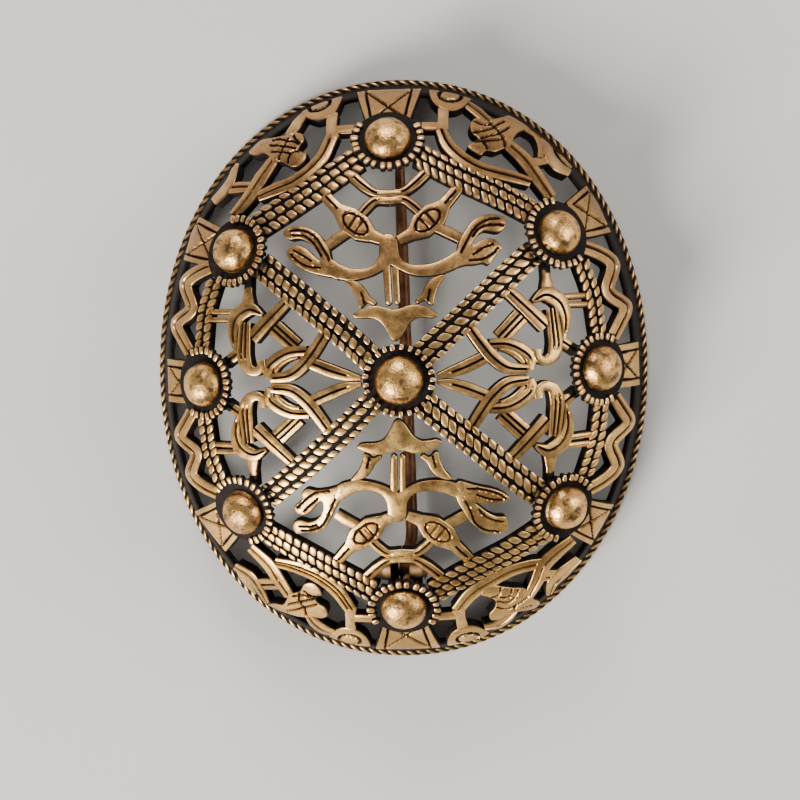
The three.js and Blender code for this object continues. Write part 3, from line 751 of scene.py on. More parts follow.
# Each quarter's beast: the outline of its head with how far that is moved, the middle, half
# sizes and tilt of its eye, the outline of its paw, the paw's lines, and its own straps.
BEASTS = {
    (1, 1): (
        HEAD, (0.0, 0.0), ((10.25, 46.1), 1.85, 1.0, -8),
        [[15.7, 41.9], [17.0, 41.9], [18.4, 42.1], [20.0, 42.4], [21.6, 41.7], [23.3, 40.7], [24.2, 40.0],
         [22.4, 39.8], [20.9, 39.2], [20.2, 38.3], [19.7, 37.1], [18.4, 36.7], [17.1, 36.3], [15.8, 36.6],
         [14.9, 35.9], [13.9, 36.5], [12.9, 37.5], [13.9, 38.3], [14.6, 38.7], [13.8, 39.5], [13.4, 40.5],
         [13.6, 41.6], [14.5, 42.2]],
        [[[15.7, 42.2], [16.8, 40.9], [17.9, 39.5], [18.6, 38.2], [18.8, 36.5]],
         [[17.1, 40.5], [18.0, 40.9], [18.9, 41.3]], [[17.9, 39.4], [18.9, 39.8], [19.6, 40.3]],
         [[14.1, 41.6], [15.2, 41.0], [16.8, 40.8]], [[14.0, 39.7], [15.6, 39.9], [17.2, 40.3]],
         [[15.1, 38.7], [16.5, 39.0], [17.9, 39.2]], [[13.6, 38.3], [16.0, 38.2], [18.5, 38.3]],
         [[15.4, 38.0], [15.9, 37.2], [15.7, 36.4]]],
        [row([[9.2, 44.1], [9.1, 42.2], [8.9, 40.6]], [1.9, 1.8, 2.2]),
         row([[8.7, 40.6], [9.7, 38.2], [11.6, 36.0], [14.4, 34.0], [17.3, 32.8], [20.0, 31.9],
             [22.6, 30.9]],
             [1.8, 2.2, 2.2, 2.1, 2.0, 2.0, 1.6], lines=[0.05], level=0.06),
         row([[13.1, 44.6], [14.7, 43.3], [16.6, 41.4]], [1.3, 1.6, 1.4], lines=[0.0]),
         row([[19.5, 37.3], [21.8, 34.8], [23.7, 31.8], [25.9, 28.2]], [1.9, 2.3, 2.3, 1.9],
             lines=[0.0], level=0.1),
         row([[23.2, 40.4], [24.9, 39.4], [25.8, 37.4], [26.0, 35.3], [27.2, 33.4], [29.2, 32.1]],
             [0.9, 1.4, 1.5, 1.7, 1.8, 1.2], level=0.08),
         row([[22.3, 40.1], [24.0, 38.9], [24.7, 36.9], [24.5, 35.0]], [0.8, 1.1, 1.1, 1.0], level=0.0),
         row([[26.4, 38.2], [27.6, 36.5], [28.8, 34.7], [29.5, 33.0]], [0.4, 1.5, 1.7, 0.6],
             level=0.02, crown=0.2),
         row([[22.6, 34.3], [25.9, 34.6]], 1.4, level=-0.1)],
    ),
    (-1, 1): (
        HEAD_FURTHER_ROUND, (0.0, 0.0), ((11.8, 45.3), 1.9, 0.85, -17),
        [[16.4, 41.0], [18.5, 40.6], [20.5, 40.4], [22.3, 40.2], [23.6, 39.3], [24.6, 38.2], [23.4, 37.7],
         [21.8, 38.0], [20.6, 37.3], [19.9, 36.2], [18.8, 36.5], [17.6, 36.0], [16.6, 35.5], [15.2, 35.7],
         [14.1, 36.6], [14.0, 37.7], [15.3, 38.0], [15.1, 38.8], [14.4, 39.6], [14.6, 40.6], [15.5, 41.0]],
        [[[16.3, 41.2], [17.3, 39.9], [18.2, 38.5], [18.8, 37.3], [19.0, 36.2]],
         [[15.3, 39.1], [16.5, 39.6], [17.6, 39.5]],
         [[15.9, 38.4], [17.2, 38.7], [18.2, 38.9], [20.4, 39.1]],
         [[17.3, 39.7], [18.8, 40.0], [20.0, 39.9]], [[16.7, 37.6], [18.0, 37.9], [20.2, 38.1]],
         [[14.2, 37.8], [16.0, 37.9], [16.9, 37.3], [17.4, 36.0]],
         [[16.4, 41.1], [16.0, 40.0], [15.1, 39.2]]],
        [row([[9.5, 44.0], [9.6, 42.0], [9.3, 39.8]], [2.0, 1.9, 2.3]),
         row([[9.4, 40.2], [11.0, 37.1], [13.5, 34.8], [16.6, 33.1], [19.6, 32.2], [22.8, 31.1]],
             [2.2, 2.3, 2.1, 2.0, 2.0, 1.6], lines=[0.05], level=0.06),
         row([[14.7, 43.9], [15.8, 42.6], [17.4, 40.6]], [1.3, 1.8, 1.4]),
         row([[20.0, 36.8], [22.4, 33.9], [24.5, 31.0], [27.2, 28.0]], [1.8, 2.2, 2.1, 1.7],
             lines=[0.0], level=0.1),
         row([[27.0, 36.6], [27.7, 34.1], [29.0, 32.2], [31.0, 30.4]], [1.2, 1.5, 1.7, 1.3], level=0.05),
         row([[23.6, 32.7], [26.0, 32.8], [28.4, 32.6]], 1.7, lines=[0.0], level=-0.08)],
    ),
    (1, -1): (
        HEAD, (0.0, -0.3), ((10.25, 46.1), 1.85, 1.0, -10),
        [[17.4, 41.8], [18.8, 41.3], [20.4, 41.3], [22.0, 41.0], [22.4, 40.0], [21.3, 38.9], [20.6, 37.7],
         [19.9, 36.6], [18.2, 36.3], [16.6, 36.0], [15.0, 35.7], [13.2, 36.2], [12.8, 37.3], [14.3, 38.0],
         [15.1, 38.8], [14.9, 40.0], [14.0, 41.3], [14.2, 42.4], [15.7, 42.4]],
        [[[14.9, 39.8], [16.8, 40.3], [18.5, 39.6], [20.3, 38.3]],
         [[15.4, 38.7], [17.0, 39.0], [18.2, 38.1], [19.0, 36.6]],
         [[16.0, 38.0], [17.4, 37.8], [17.8, 36.4]], [[17.3, 41.7], [17.7, 40.9], [18.6, 39.7]],
         [[19.2, 40.6], [20.8, 40.2]], [[14.3, 38.0], [15.6, 37.4], [16.0, 36.1]]],
        [row([[9.6, 43.8], [9.3, 41.8], [9.0, 40.0]], [2.0, 1.7, 2.2]),
         row([[8.8, 40.2], [11.2, 37.2], [14.5, 34.9], [17.8, 33.1], [21.0, 32.3], [23.2, 32.1]],
             [2.0, 2.3, 2.2, 2.1, 2.1, 1.8], lines=[0.05], level=0.06),
         row([[13.1, 43.9], [15.2, 43.6], [16.8, 42.5], [18.2, 40.9]], [1.2, 1.8, 1.8, 1.3],
             lines=[0.0], level=0.16),
         row([[20.6, 38.3], [22.1, 35.3], [23.2, 32.6], [25.2, 30.6], [28.2, 28.4]],
             [1.6, 2.2, 2.5, 2.4, 1.8],
             lines=[0.0], level=0.1),
         row([[24.0, 38.8], [24.7, 36.4], [26.5, 34.6], [29.2, 32.5]], [1.0, 2.0, 2.5, 1.7],
             lines=[0.3], level=0.05),
         row([[22.2, 34.6], [25.8, 35.0]], 2.1, lines=[0.3], level=-0.08)],
    ),
    (-1, -1): (
        HEAD, (-0.4, -0.6), ((10.2, 46.1), 1.85, 1.1, -5),
        [[16.4, 41.3], [18.6, 41.3], [20.6, 40.9], [22.5, 40.4], [24.0, 39.7], [22.8, 39.2], [21.2, 39.2],
         [20.4, 38.2], [20.0, 37.0], [18.9, 36.7], [17.8, 36.3], [16.9, 34.9], [15.4, 34.7], [14.2, 35.8],
         [14.0, 36.8], [15.1, 37.5], [14.6, 38.4], [13.4, 39.3], [13.3, 40.8], [14.4, 41.3], [15.5, 41.2]],
        [[[15.0, 38.6], [16.9, 39.1], [18.8, 39.8], [20.3, 40.2]],
         [[15.2, 37.5], [17.2, 38.0], [18.6, 38.4], [20.0, 38.9]],
         [[15.9, 37.1], [17.6, 37.0], [19.0, 37.3]],
         [[16.9, 41.2], [17.2, 39.3], [18.0, 37.9], [17.9, 36.3]],
         [[14.1, 37.0], [15.8, 37.0], [17.0, 36.2]]],
        [row([[9.4, 43.6], [9.4, 41.3], [9.1, 39.4]], [1.9, 1.6, 2.1]),
         row([[8.9, 39.8], [11.3, 36.0], [14.2, 33.7], [17.8, 32.2], [21.8, 31.4]],
             [2.2, 2.5, 2.4, 2.2, 1.7],
             lines=[-0.3, 0.3], level=0.06),
         row([[12.4, 44.2], [14.2, 43.6], [15.7, 42.4], [16.8, 40.6]], [1.3, 2.0, 2.0, 1.3],
             lines=[0.0], level=0.16),
         row([[19.8, 37.3], [21.7, 34.2], [23.1, 31.9], [26.0, 29.0]], [1.9, 2.3, 2.3, 1.8],
             lines=[0.0], level=0.1),
         row([[24.2, 39.4], [25.2, 36.8], [26.7, 34.5], [29.3, 32.9]], [1.1, 1.7, 2.1, 1.5],
             lines=[-0.2], level=0.08),
         row([[26.2, 38.0], [27.3, 36.5], [28.3, 34.9], [28.9, 33.6]], [0.4, 1.4, 1.4, 0.5], crown=0.2),
         row([[21.4, 35.4], [25.6, 35.9]], 2.1, lines=[0.0], level=-0.08)],
    ),
}
EAR = row([[5.6, 41.3], [8.6, 41.2]], 1.4, level=-0.05)

# Each plaque: middle of its inner edge, middle of its outer edge, the two widths of the
# whole and of the crossed part, how far along its length the cross starts, and its signs.
PLAQUES = [
    ([0, 42.0], [0, 47.4], (7.2, 11.0), (5.6, 7.8), 0.1, [(1, 1), (1, -1)]),
    ([35.3, 0], [39.7, 0], (7.2, 7.4), (4.5, 4.9), 0.12, [(1, 1), (-1, 1)]),
    ([29.6, 24.2], [34.0, 26.0], (6.6, 9.0), (5.0, 6.7), 0.2, [(1, 1)]),
    ([29.3, 22.6], [35.2, 24.3], (6.6, 7.8), (4.6, 5.6), 0.2, [(-1, 1)]),
    ([28.9, 24.1], [33.2, 26.7], (6.4, 7.9), (4.8, 5.7), 0.2, [(1, -1)]),
    ([29.0, 23.3], [33.3, 26.8], (6.6, 8.6), (4.8, 6.3), 0.2, [(-1, -1)]),
]


def plaque(casting, inner, outer, widths, crossed, start, signs):
    """A creased trapezoid: a cross from corner to corner between two side bars."""
    inner, outer = np.array(inner, float), np.array(outer, float)
    along = unit(outer - inner)
    near = inner + (outer - inner) * start
    far = outer - along * 0.1
    near_corner, far_corner = left_of(along) * crossed[0] / 2, left_of(along) * crossed[1] / 2
    cuts = []
    for side in (-1, 1):
        cuts.append([near + near_corner * side, far + far_corner * side])
        cuts.append([near + near_corner * side, far - far_corner * side])
    strap(casting, [inner, (inner + outer) / 2, outer], [widths[0], sum(widths) / 2, widths[1]], signs,
          cuts=cuts, crown=0.0, top=PLAQUE_TOP, underside=UNDERSIDE - 0.15, depth=0.7)


# ---- The rim -----------------------------------------------------------------------------

ROPE_RADIUS = 0.74
ROPE_HEIGHT = 0.88
ROPE_PITCH = 1.7
ROPE_STRANDS = 3
ROPE_SIDES = 16
ROPE_RINGS = 7  # rings of points in one pitch
ROPE_NECK = 0.64  # share of the radius left between two strands
ROPE_UNDERSIDE = 0.12  # the rope is flat under this height over the floor
ROPE_SHADE = 0.7  # and dark under this one
WALL_RINGS = 420
# Inset from the rim's edge, height over the floor, and drop, round the wall's section.
# The drops keep the whole wall in the near-black colour of patina and painted shade.
WALL_SECTION = [
    (0.3, 0.0, -0.6), (0.1, 0.3, -0.6), (0.35, 0.7, -0.6), (0.9, 1.5, -0.6), (1.05, 1.9, -0.5),
    (1.35, 3.1, -0.6), (1.75, 4.9, -0.6), (2.1, 6.5, -0.6), (2.3, 6.9, -0.5), (2.6, 7.0, -0.5),
    (3.0, 6.8, -0.6), (3.1, 6.2, -0.6), (3.0, 4.2, -0.6), (2.8, 2.2, -0.6), (2.5, 0.15, -0.6),
    (2.4, 0.0, -0.6),
]
RIM_HEIGHT = 0.2  # the rim lies off the plan, and takes this height over the dome
OFF_PLAN = 90.0

EDGE_POINTS = 40001  # so many that even steps can be measured off between them
RIM_EDGE = np.stack(superoval(np.linspace(0, 2 * math.pi, EDGE_POINTS), OVAL_POWER), -1) * OVAL_SEMI
RIM_LENGTHS = lengths_along(RIM_EDGE)


def add_round_rim(casting, inset, height, drop, quads):
    """Adds a closed band round the rim, in even steps; each step has its own section."""
    steps = len(inset)
    point = places_along(RIM_EDGE, RIM_LENGTHS, np.arange(steps) / steps * RIM_LENGTHS[-1])
    inward = left_of(unit(np.roll(point, -1, 0) - np.roll(point, 1, 0)))
    xy = point[:, None, :] + inward[:, None, :] * inset[..., None]
    points = np.concatenate([xy, height[..., None]], -1).reshape(-1, 3)
    count = len(points)
    casting.add(points, np.full((count, 2), OFF_PLAN), np.full(count, RIM_HEIGHT), drop.ravel(), quads)


def rim_rope(casting):
    steps = round(RIM_LENGTHS[-1] / ROPE_PITCH) * ROPE_RINGS
    around = angles_round(ROPE_SIDES)
    phase = np.arange(steps)[:, None] / ROPE_RINGS + ROPE_STRANDS * around / (2 * math.pi)
    swell = np.abs(np.sin(math.pi * phase)) ** 0.7
    radius = ROPE_RADIUS * (ROPE_NECK + (1 - ROPE_NECK) * swell)
    inset = ROPE_RADIUS - radius * np.cos(around)
    height = np.maximum(ROPE_HEIGHT + radius * np.sin(around), ROPE_UNDERSIDE)
    # The hollows between strands and the rope's underside take the near-black patina and painted shade.
    drop = -0.75 * (1 - swell) ** 0.65
    drop = np.where(height < ROPE_SHADE, np.minimum(drop, -0.4), drop)
    add_round_rim(casting, inset, height, drop, tube_faces(steps, ROPE_SIDES, True)[:, ::-1])


def rim_wall(casting):
    """The flat underside, and the steep plain band between the rope and the lattice."""
    size = WALL_RINGS, len(WALL_SECTION)
    section = [np.broadcast_to(values, size) for values in np.array(WALL_SECTION).T]
    add_round_rim(casting, *section, tube_faces(*size, True))


# ---- All castings ------------------------------------------------------------------------

rng = np.random.default_rng(7)

lattice = Casting("lattice")
masks = Casting("masks")
beasts = Casting("beasts")
bands = Casting("bands")
band_beading = Casting("band_beading")
bosses = Casting("bosses")
boss_beading = Casting("boss_beading")
plaques = Casting("star_plaques")
rope = Casting("rim_rope")
wall = Casting("rim_wall")
pads = Casting("hinge_pads")

# The beading of each band, in rows from the left of its true heading to the right: how far
# aside each row runs, its pitch, the length and width of its tiles, and their lean.
SIDE_BEADS = [
    ([0.72, 0.78, 0.72], 1.36, (1.26, 1.0), -0.75),
    ([-0.7, -0.66, -0.7], 1.36, (1.26, 1.05), -0.75),
]
CENTRE_BEADS = {
    (1, 1): [
        ([1.6, 1.6, 1.5, 1.35], 1.55, (1.32, 1.0), -0.65),
        ([-0.28, -0.3, -0.3, -0.3], 1.82, (1.62, 1.5), -0.75),
        ([-2.0, -2.0, -2.0, -1.95], 1.7, (1.36, 0.95), -0.45),
    ],
    (-1, 1): [
        ([2.4, 1.85, 1.5, 1.35], 1.5, (1.26, 1.15), -0.75),
        ([0.9, 0.16, -0.2, -0.36], 1.57, (1.4, 1.42), -0.28),
        ([-0.95, -1.7, -2.05, -2.05], 1.65, (1.22, 0.95), -0.4),
    ],
    (1, -1): [
        ([1.85, 1.8, 1.85, 1.9], 1.65, (1.42, 1.1), -0.7),
        ([0.1, 0.0, 0.1, 0.15], 1.72, (1.52, 1.58), -0.75),
        ([-1.7, -1.75, -1.7, -1.65], 1.6, (1.28, 1.05), -0.3),
    ],
    (-1, -1): [
        ([0.65, 1.35, 1.85, 1.85], 1.58, (1.36, 1.1), -0.6),
        ([-1.05, -0.5, 0.08, 0.2], 1.62, (1.42, 1.38), -0.45),
        ([-2.5, -2.05, -1.5, -1.3], 1.62, (1.2, 0.92), -0.25),
    ],
}
END_BEADS = {
    (1, 1): [
        ([1.45, 1.6, 1.4, 1.0], 1.55, (1.28, 0.8), -0.7),
        ([0.2, 0.2, 0.0, -0.15], 1.48, (1.32, 1.15), -0.6),
        ([-1.3, -1.38, -1.55, -1.7], 1.4, (1.2, 1.38), -0.75),
    ],
    (-1, 1): [
        ([1.6, 1.6, 1.5, 1.4], 1.58, (1.32, 1.4), -0.5),
        ([0.05, 0.0, -0.2, -0.35], 1.78, (1.52, 1.15), -0.35),
        ([-1.4, -1.45, -1.7, -1.65], 1.7, (1.42, 0.75), -0.95),
    ],
    (1, -1): [
        ([1.2, 1.1, 1.15, 1.4], 1.6, (1.32, 1.4), -0.7),
        ([-0.45, -0.5, -0.5, -0.4], 1.5, (1.32, 1.15), -0.6),
        ([-1.7, -1.75, -1.75, -1.65], 1.6, (1.32, 0.8), -0.9),
    ],
    (-1, -1): [
        ([1.2, 1.3, 1.35, 1.25], 1.5, (1.26, 0.65), -0.8),
        ([-0.25, 0.0, 0.15, 0.05], 1.53, (1.36, 1.15), -0.55),
        ([-1.7, -1.5, -1.35, -1.25], 1.45, (1.24, 1.2), -0.4),
    ],
}


BAND_MARGIN = 0.75  # a band's width beyond the middles of its outer rows


def straps(casting, rows, signs):
    for path, width, options in rows:
        strap(casting, path, width, signs, **options)


def band(path, rows, level, rise, signs, hand):
    """A plain band and its rows of beads.

    hand is -1 in a mirrored quarter whose rows are given in their true order, and else 1.
    """
    first, last = np.array(rows[0][0]), np.array(rows[-1][0])
    strap(bands, beside(path, (first + last) / 2, hand), abs(first - last) + BAND_MARGIN, signs,
          level=level, top=0.02, crown=0.05)
    for aside, pitch, size, lean in rows:
        tile_row(band_beading, beside(path, aside, hand), signs, pitch, size, lean, level + 0.05, rise, rng)


for signs in QUARTERS:
    straps(lattice, KNOT + WAVE, signs)
    straps(masks, MASK, signs)
    plate(masks, LEG, signs, cuts=LEG_CUTS, level=-0.12)
    hand, lines_of_hand = HANDS[signs]
    plate(masks, hand, signs, cuts=[smooth_line(line) for line in lines_of_hand], level=0.08, crown=0.14)
    head, moved, (oval_at, long_half, short_half, tilt), paw, lines_of_paw, own_straps = BEASTS[signs]
    straps(beasts, [EAR, *own_straps], signs)
    plate(beasts, np.array(head) + moved, signs, level=0.12, groove=0.27, depth=0.8, step=0.16,
          cuts=[oval_line(np.array(oval_at) + moved, long_half, short_half, tilt)])
    plate(beasts, paw, signs, cuts=[smooth_line(line) for line in lines_of_paw], level=0.14, groove=0.18,
          depth=0.65, step=0.16)
    mirrored = signs[0] * signs[1]
    band(CENTRE_BAND, CENTRE_BEADS[signs], 0.25, 0.64, signs, mirrored)
    band(END_BAND, END_BEADS[signs], 0.2, 0.64, signs, mirrored)
    band(SIDE_BAND, SIDE_BEADS, 0.1, 0.55, signs, 1)

for sign_y in (1, -1):
    straps(masks, NOSE_BARS, (1, sign_y))
    plate(masks, NOSE_AND_ARMS, (1, sign_y), level=0.05, crown=0.14)
    plate(masks, MOUSTACHE, (1, sign_y), level=0.08, crown=0.14)

for true_place, stands, middle_deg, span_deg, radius, nudge in BOSSES:
    boss(bosses, true_place, stands, radius, nudge, rng)
    boss_beads(boss_beading, true_place, stands, middle_deg, span_deg, rng)

for *form, all_signs in PLAQUES:
    for signs in all_signs:
        plaque(plaques, *form, signs)

rim_rope(rope)
rim_wall(wall)

for side in (-1, 1):
    pad_path = [[HINGE_ASIDE + side * aside, PAD_Y] for aside in (1.6, 3.6, 5)]
    strap(pads, pad_path, [3.6, 3.2, 1.2], level=-0.4, crown=0.3)


# ---- Depth into patina and painted shade -------------------------------------------------

RASTER = 0.1  # size of a cell of the relief map
REACH = np.array([46.0, 54.0])  # from the plan's middle to the map's edges
RELIEF_LOW = 0.05  # faces wholly under this height aren't drawn on the map
RELIEF_HIGH = 1.5  # heights over this count as this
SOFTENING = 0.32
SAMPLES = 5  # along each side of a face

# From all patina and painted shade to all bronze, by drop and by how far a point stands out of
# the softened relief; and from bronze to a rubbed edge with a painted highlight, by how far it stands out.
BRONZE_DROP = (-0.36, -0.1)
BRONZE_PROUD = (-0.28, 0.0)
EDGE_PROUD = (0.14, 0.4)
SHELL_DROP = (-0.36, -0.06)  # on the rope, the rim's wall and the bosses
SHELL_EDGE = 0.15  # how much of their polish counts as a rubbed edge with a painted highlight
BAND_WEAR_AND_SHADE = 0.08  # the bands under the beads stay near-black: patina and painted shade between the beads
CAST_CREASE = math.radians(42)  # a steeper turn between two faces stays sharp


def relief_map(castings):
    """The highest surface over each spot of the plan, softened by a third of a millimetre."""
    size = (2 * REACH / RASTER).astype(int)
    top = np.zeros(size)
    steps = np.linspace(0, 1, SAMPLES)
    for casting in castings:
        plan = np.concatenate(casting.plan)
        height = np.concatenate(casting.height)
        corners = np.concatenate([*casting.quads, *(t[:, [0, 1, 2, 2]] for t in casting.triangles)])
        corners = corners[height[corners].max(1) > RELIEF_LOW]
        for a in steps:
            for b in steps:
                weights = np.array([(1 - a) * (1 - b), a * (1 - b), a * b, (1 - a) * b])
                p = (plan[corners] * weights[:, None]).sum(1)
                h = np.minimum((height[corners] * weights).sum(1), RELIEF_HIGH)
                cell = ((p + REACH) / RASTER).astype(int)
                fits = ((cell >= 0) & (cell < size)).all(1)
                np.maximum.at(top, (cell[fits, 0], cell[fits, 1]), h[fits])
    offsets = np.arange(-9, 10)  # cells, out to nearly three times the softening
    kernel = np.exp(-0.5 * (offsets * RASTER / SOFTENING) ** 2)
    kernel /= kernel.sum()
    for axis in (0, 1):
        top = sum(k * np.roll(top, o, axis) for k, o in zip(kernel, offsets))
    return top


def wear_and_shade_of(casting, softened):
    """How polished each point is against the near-black patina and painted shade, and how much it stands
    out as an edge that gets a painted highlight, from 0 to 1.
    """
    plan = np.concatenate(casting.plan)
    height = np.concatenate(casting.height)
    cell = np.clip(((plan + REACH) / RASTER).astype(int), 0, np.array(softened.shape) - 1)
    stands_out = np.minimum(height, RELIEF_HIGH) - softened[cell[:, 0], cell[:, 1]]
    shown = smooth_step(*BRONZE_DROP, np.concatenate(casting.drop))
    return shown * smooth_step(*BRONZE_PROUD, stands_out), shown * smooth_step(*EDGE_PROUD, stands_out)


def placed(name, data):
    """A new object in the scene."""
    piece = bpy.data.objects.new(name, data)
    bpy.context.scene.collection.objects.link(piece)
    return piece


def object_from(casting, wear_and_shade, edge):
    points = np.concatenate(casting.points) * MM
    faces = casting.quads + casting.triangles
    loops = np.concatenate([f.ravel() for f in faces])
    corners = np.concatenate([np.full(len(f), f.shape[1]) for f in faces])
    starts = np.cumsum(corners) - corners
    mesh = bpy.data.meshes.new(casting.name)
    mesh.vertices.add(len(points))
    mesh.vertices.foreach_set("co", points.astype(np.float32).ravel())
    mesh.loops.add(len(loops))
    mesh.loops.foreach_set("vertex_index", loops.astype(np.int32))
    mesh.polygons.add(len(starts))
    mesh.polygons.foreach_set("loop_start", starts.astype(np.int32))
    mesh.update(calc_edges=True)
    mesh.validate()
    for name, values in (("wear_and_shade", wear_and_shade), ("edge", edge)):
        attribute = mesh.attributes.new(name, "FLOAT", "POINT")
        attribute.data.foreach_set("value", values.astype(np.float32))
    mesh.shade_smooth()
    mesh.set_sharp_from_angle(angle=CAST_CREASE)
    return placed(casting.name, mesh)


# ---- Finishes ----------------------------------------------------------------------------


class Nodes:
    """A short way to add shader nodes and join them."""

    def __init__(self, name):
        self.material = bpy.data.materials.new(name)
        self.material.use_nodes = True
        self.tree = self.material.node_tree
        self.tree.nodes.clear()

    def join(self, value, socket):
        """Links an output to the socket, or gives the socket a plain value."""
        if isinstance(value, bpy.types.NodeSocket):
            self.tree.links.new(value, socket)
        else:
            socket.default_value = value

    def add(self, kind, settings=None, **inputs):
        node = self.tree.nodes.new(kind)
        for key, value in (settings or {}).items():
            setattr(node, key, value)
        for key, value in inputs.items():
            self.join(value, node.inputs[key.replace("_", " ")])
        return node

    def math(self, operation, *values, clamp=False):
        node = self.add("ShaderNodeMath", {"operation": operation, "use_clamp": clamp})
        for value, socket in zip(values, node.inputs):
            self.join(value, socket)
        return node.outputs[0]

    def remap(self, value, low, high, to_low=0.0, to_high=1.0):
        node = self.add("ShaderNodeMapRange", {"interpolation_type": "SMOOTHSTEP"},
                        Value=value, From_Min=low, From_Max=high, To_Min=to_low, To_Max=to_high)
        return node.outputs[0]

    def mix(self, amount, a, b):
        """Colour a turning into colour b; each is an output or a tuple."""
        node = self.add("ShaderNodeMix", {"data_type": "RGBA"})
        self.join(amount, node.inputs[0])
        for socket, colour in ((node.inputs[6], a), (node.inputs[7], b)):
            self.join((*colour, 1.0) if isinstance(colour, tuple) else colour, socket)
        return node.outputs[2]

    def place(self, system="Object"):
        return self.add("ShaderNodeTexCoord").outputs[system]

    def noise(self, vector, size_mm, detail=4.0, roughness=0.55):
        node = self.add("ShaderNodeTexNoise", Vector=vector, Scale=1.0 / (size_mm * MM), Detail=detail,
                        Roughness=roughness)
        return node.outputs[0]

    def bump(self, strength, depth, height):
        node = self.add("ShaderNodeBump", Strength=strength, Distance=depth, Height=height)
        return node.outputs[0]

    def surface(self, **inputs):
        """Ends with a Principled surface, and gives the finished material."""
        shader = self.add("ShaderNodeBsdfPrincipled", **inputs)
        self.add("ShaderNodeOutputMaterial", Surface=shader.outputs[0])
        return self.material


# Near-black: patina, darkened further to paint the shade in hollows, recesses and gaps.
PATINA_AND_PAINTED_SHADE = (0.0045, 0.003, 0.0024)
PATINA_BROWN = (0.034, 0.015, 0.0075)
UNDERSIDE_DARK = (0.03, 0.014, 0.007)
UNDERSIDE_BROWN = (0.13, 0.066, 0.03)
# A painted highlight along proud edges, laid over edges rubbed bright.
EDGE_WEAR_AND_HIGHLIGHT = (1.0, 0.64, 0.3)
PIT_SIZE = 0.9  # millimetres from pit to pit


def cast_metal(name, bright, warm, upper, pits=0.0, rough=(0.26, 0.46), stains=0.5, stain_from=(0.58, 0.76),
               dents=0.00006):
    """Polished bronze on the high faces, near-black patina and painted shade wherever the casting is deep,
    and a painted highlight on proud edges.

    bright and warm mix in clouds, and upper takes over towards the end with the catch.
    dents is in metres.
    """
    n = Nodes(name)
    place = n.place()
    mottle = n.noise(place, 1.6, 5.0, 0.62)
    cloud = n.noise(place, 9.0, 3.0, 0.5)
    grain = n.noise(place, 0.35, 3.0, 0.6)
    wear_and_shade = n.add("ShaderNodeAttribute", {"attribute_name": "wear_and_shade"}).outputs["Fac"]
    edge = n.add("ShaderNodeAttribute", {"attribute_name": "edge"}).outputs["Fac"]
    spoiled = n.math("MULTIPLY_ADD", mottle, 0.5, -0.25)
    polish_and_shade = n.remap(n.math("ADD", wear_and_shade, spoiled), 0.12, 0.85)

    body = n.mix(n.remap(cloud, 0.35, 0.65), warm, bright)
    along = n.add("ShaderNodeSeparateXYZ", Vector=place).outputs[1]
    # Towards the catch's end the body turns to upper. For the lattice that is darker and pinker: a pinker
    # tone, and painted shade on the half away from the key light.
    body = n.mix(n.remap(along, -0.02, 0.035, 0.0, 0.75), body, upper)
    body = n.mix(n.remap(mottle, *stain_from, 0.0, stains), body, PATINA_BROWN)
    body = n.mix(n.remap(grain, 0.52, 0.7, 0.0, 0.5), body, PATINA_BROWN)
    # Painted highlight on proud edges, over edges rubbed bright.
    body = n.mix(n.math("MULTIPLY", edge, 0.7), body, EDGE_WEAR_AND_HIGHLIGHT)
    if pits:
        spots = n.add("ShaderNodeTexVoronoi", {"feature": "F1"}, Vector=place, Scale=1.0 / (PIT_SIZE * MM))
        body = n.mix(n.remap(spots.outputs["Distance"], 0.05, 0.13, pits, 0.0), body, PATINA_BROWN)

    # The near-black colour of the deep places: patina and painted shade.
    patina_and_shade = n.mix(n.remap(mottle, 0.45, 0.8), PATINA_AND_PAINTED_SHADE, PATINA_BROWN)
    underside = n.mix(n.remap(mottle, 0.35, 0.65), UNDERSIDE_DARK, UNDERSIDE_BROWN)
    upward = n.add("ShaderNodeSeparateXYZ", Vector=n.place("Normal")).outputs[2]
    patina_and_shade = n.mix(n.remap(upward, -0.75, -0.3, 1.0, 0.0), patina_and_shade, underside)
    roughness = n.remap(mottle, 0.3, 0.7, *rough)
    roughness = n.math("MULTIPLY_ADD", n.math("SUBTRACT", 1.0, polish_and_shade), 0.35, roughness, clamp=True)
    relief = n.math("ADD", n.math("MULTIPLY", grain, 0.6), n.math("MULTIPLY", mottle, 1.2))
    return n.surface(Base_Color=n.mix(polish_and_shade, patina_and_shade, body), Roughness=roughness,
                     Metallic=n.remap(polish_and_shade, 0.0, 0.6, 0.15, 1.0), Specular_IOR_Level=0.2,
                     Normal=n.bump(0.35, dents, relief))


def drawn_metal(name, bright, dark):
    """The pin's reddish drawn wire, dulled all over; its dark tone is partly painted shade from the shell
    above it.
    """
    n = Nodes(name)
    place = n.place()
    stretched = n.add("ShaderNodeMapping", Vector=place, Scale=(1.0, 0.12, 1.0)).outputs[0]
    streaks = n.noise(stretched, 0.5, 4.0, 0.6)
    mottle = n.noise(place, 2.2, 4.0, 0.6)
    body = n.mix(n.remap(mottle, 0.35, 0.65), dark, bright)
    body = n.mix(n.remap(streaks, 0.55, 0.75, 0.0, 0.6), body, PATINA_BROWN)
    return n.surface(Base_Color=body, Metallic=1.0, Roughness=n.remap(mottle, 0.3, 0.7, 0.34, 0.52),
                     Normal=n.bump(0.3, 0.00005, streaks))


def floor_paint():
    n = Nodes("floor_paint")
    tone = n.mix(n.noise(n.place(), 40.0, 3.0), (0.60, 0.585, 0.56), (0.64, 0.625, 0.60))
    return n.surface(Base_Color=tone, Roughness=0.7)


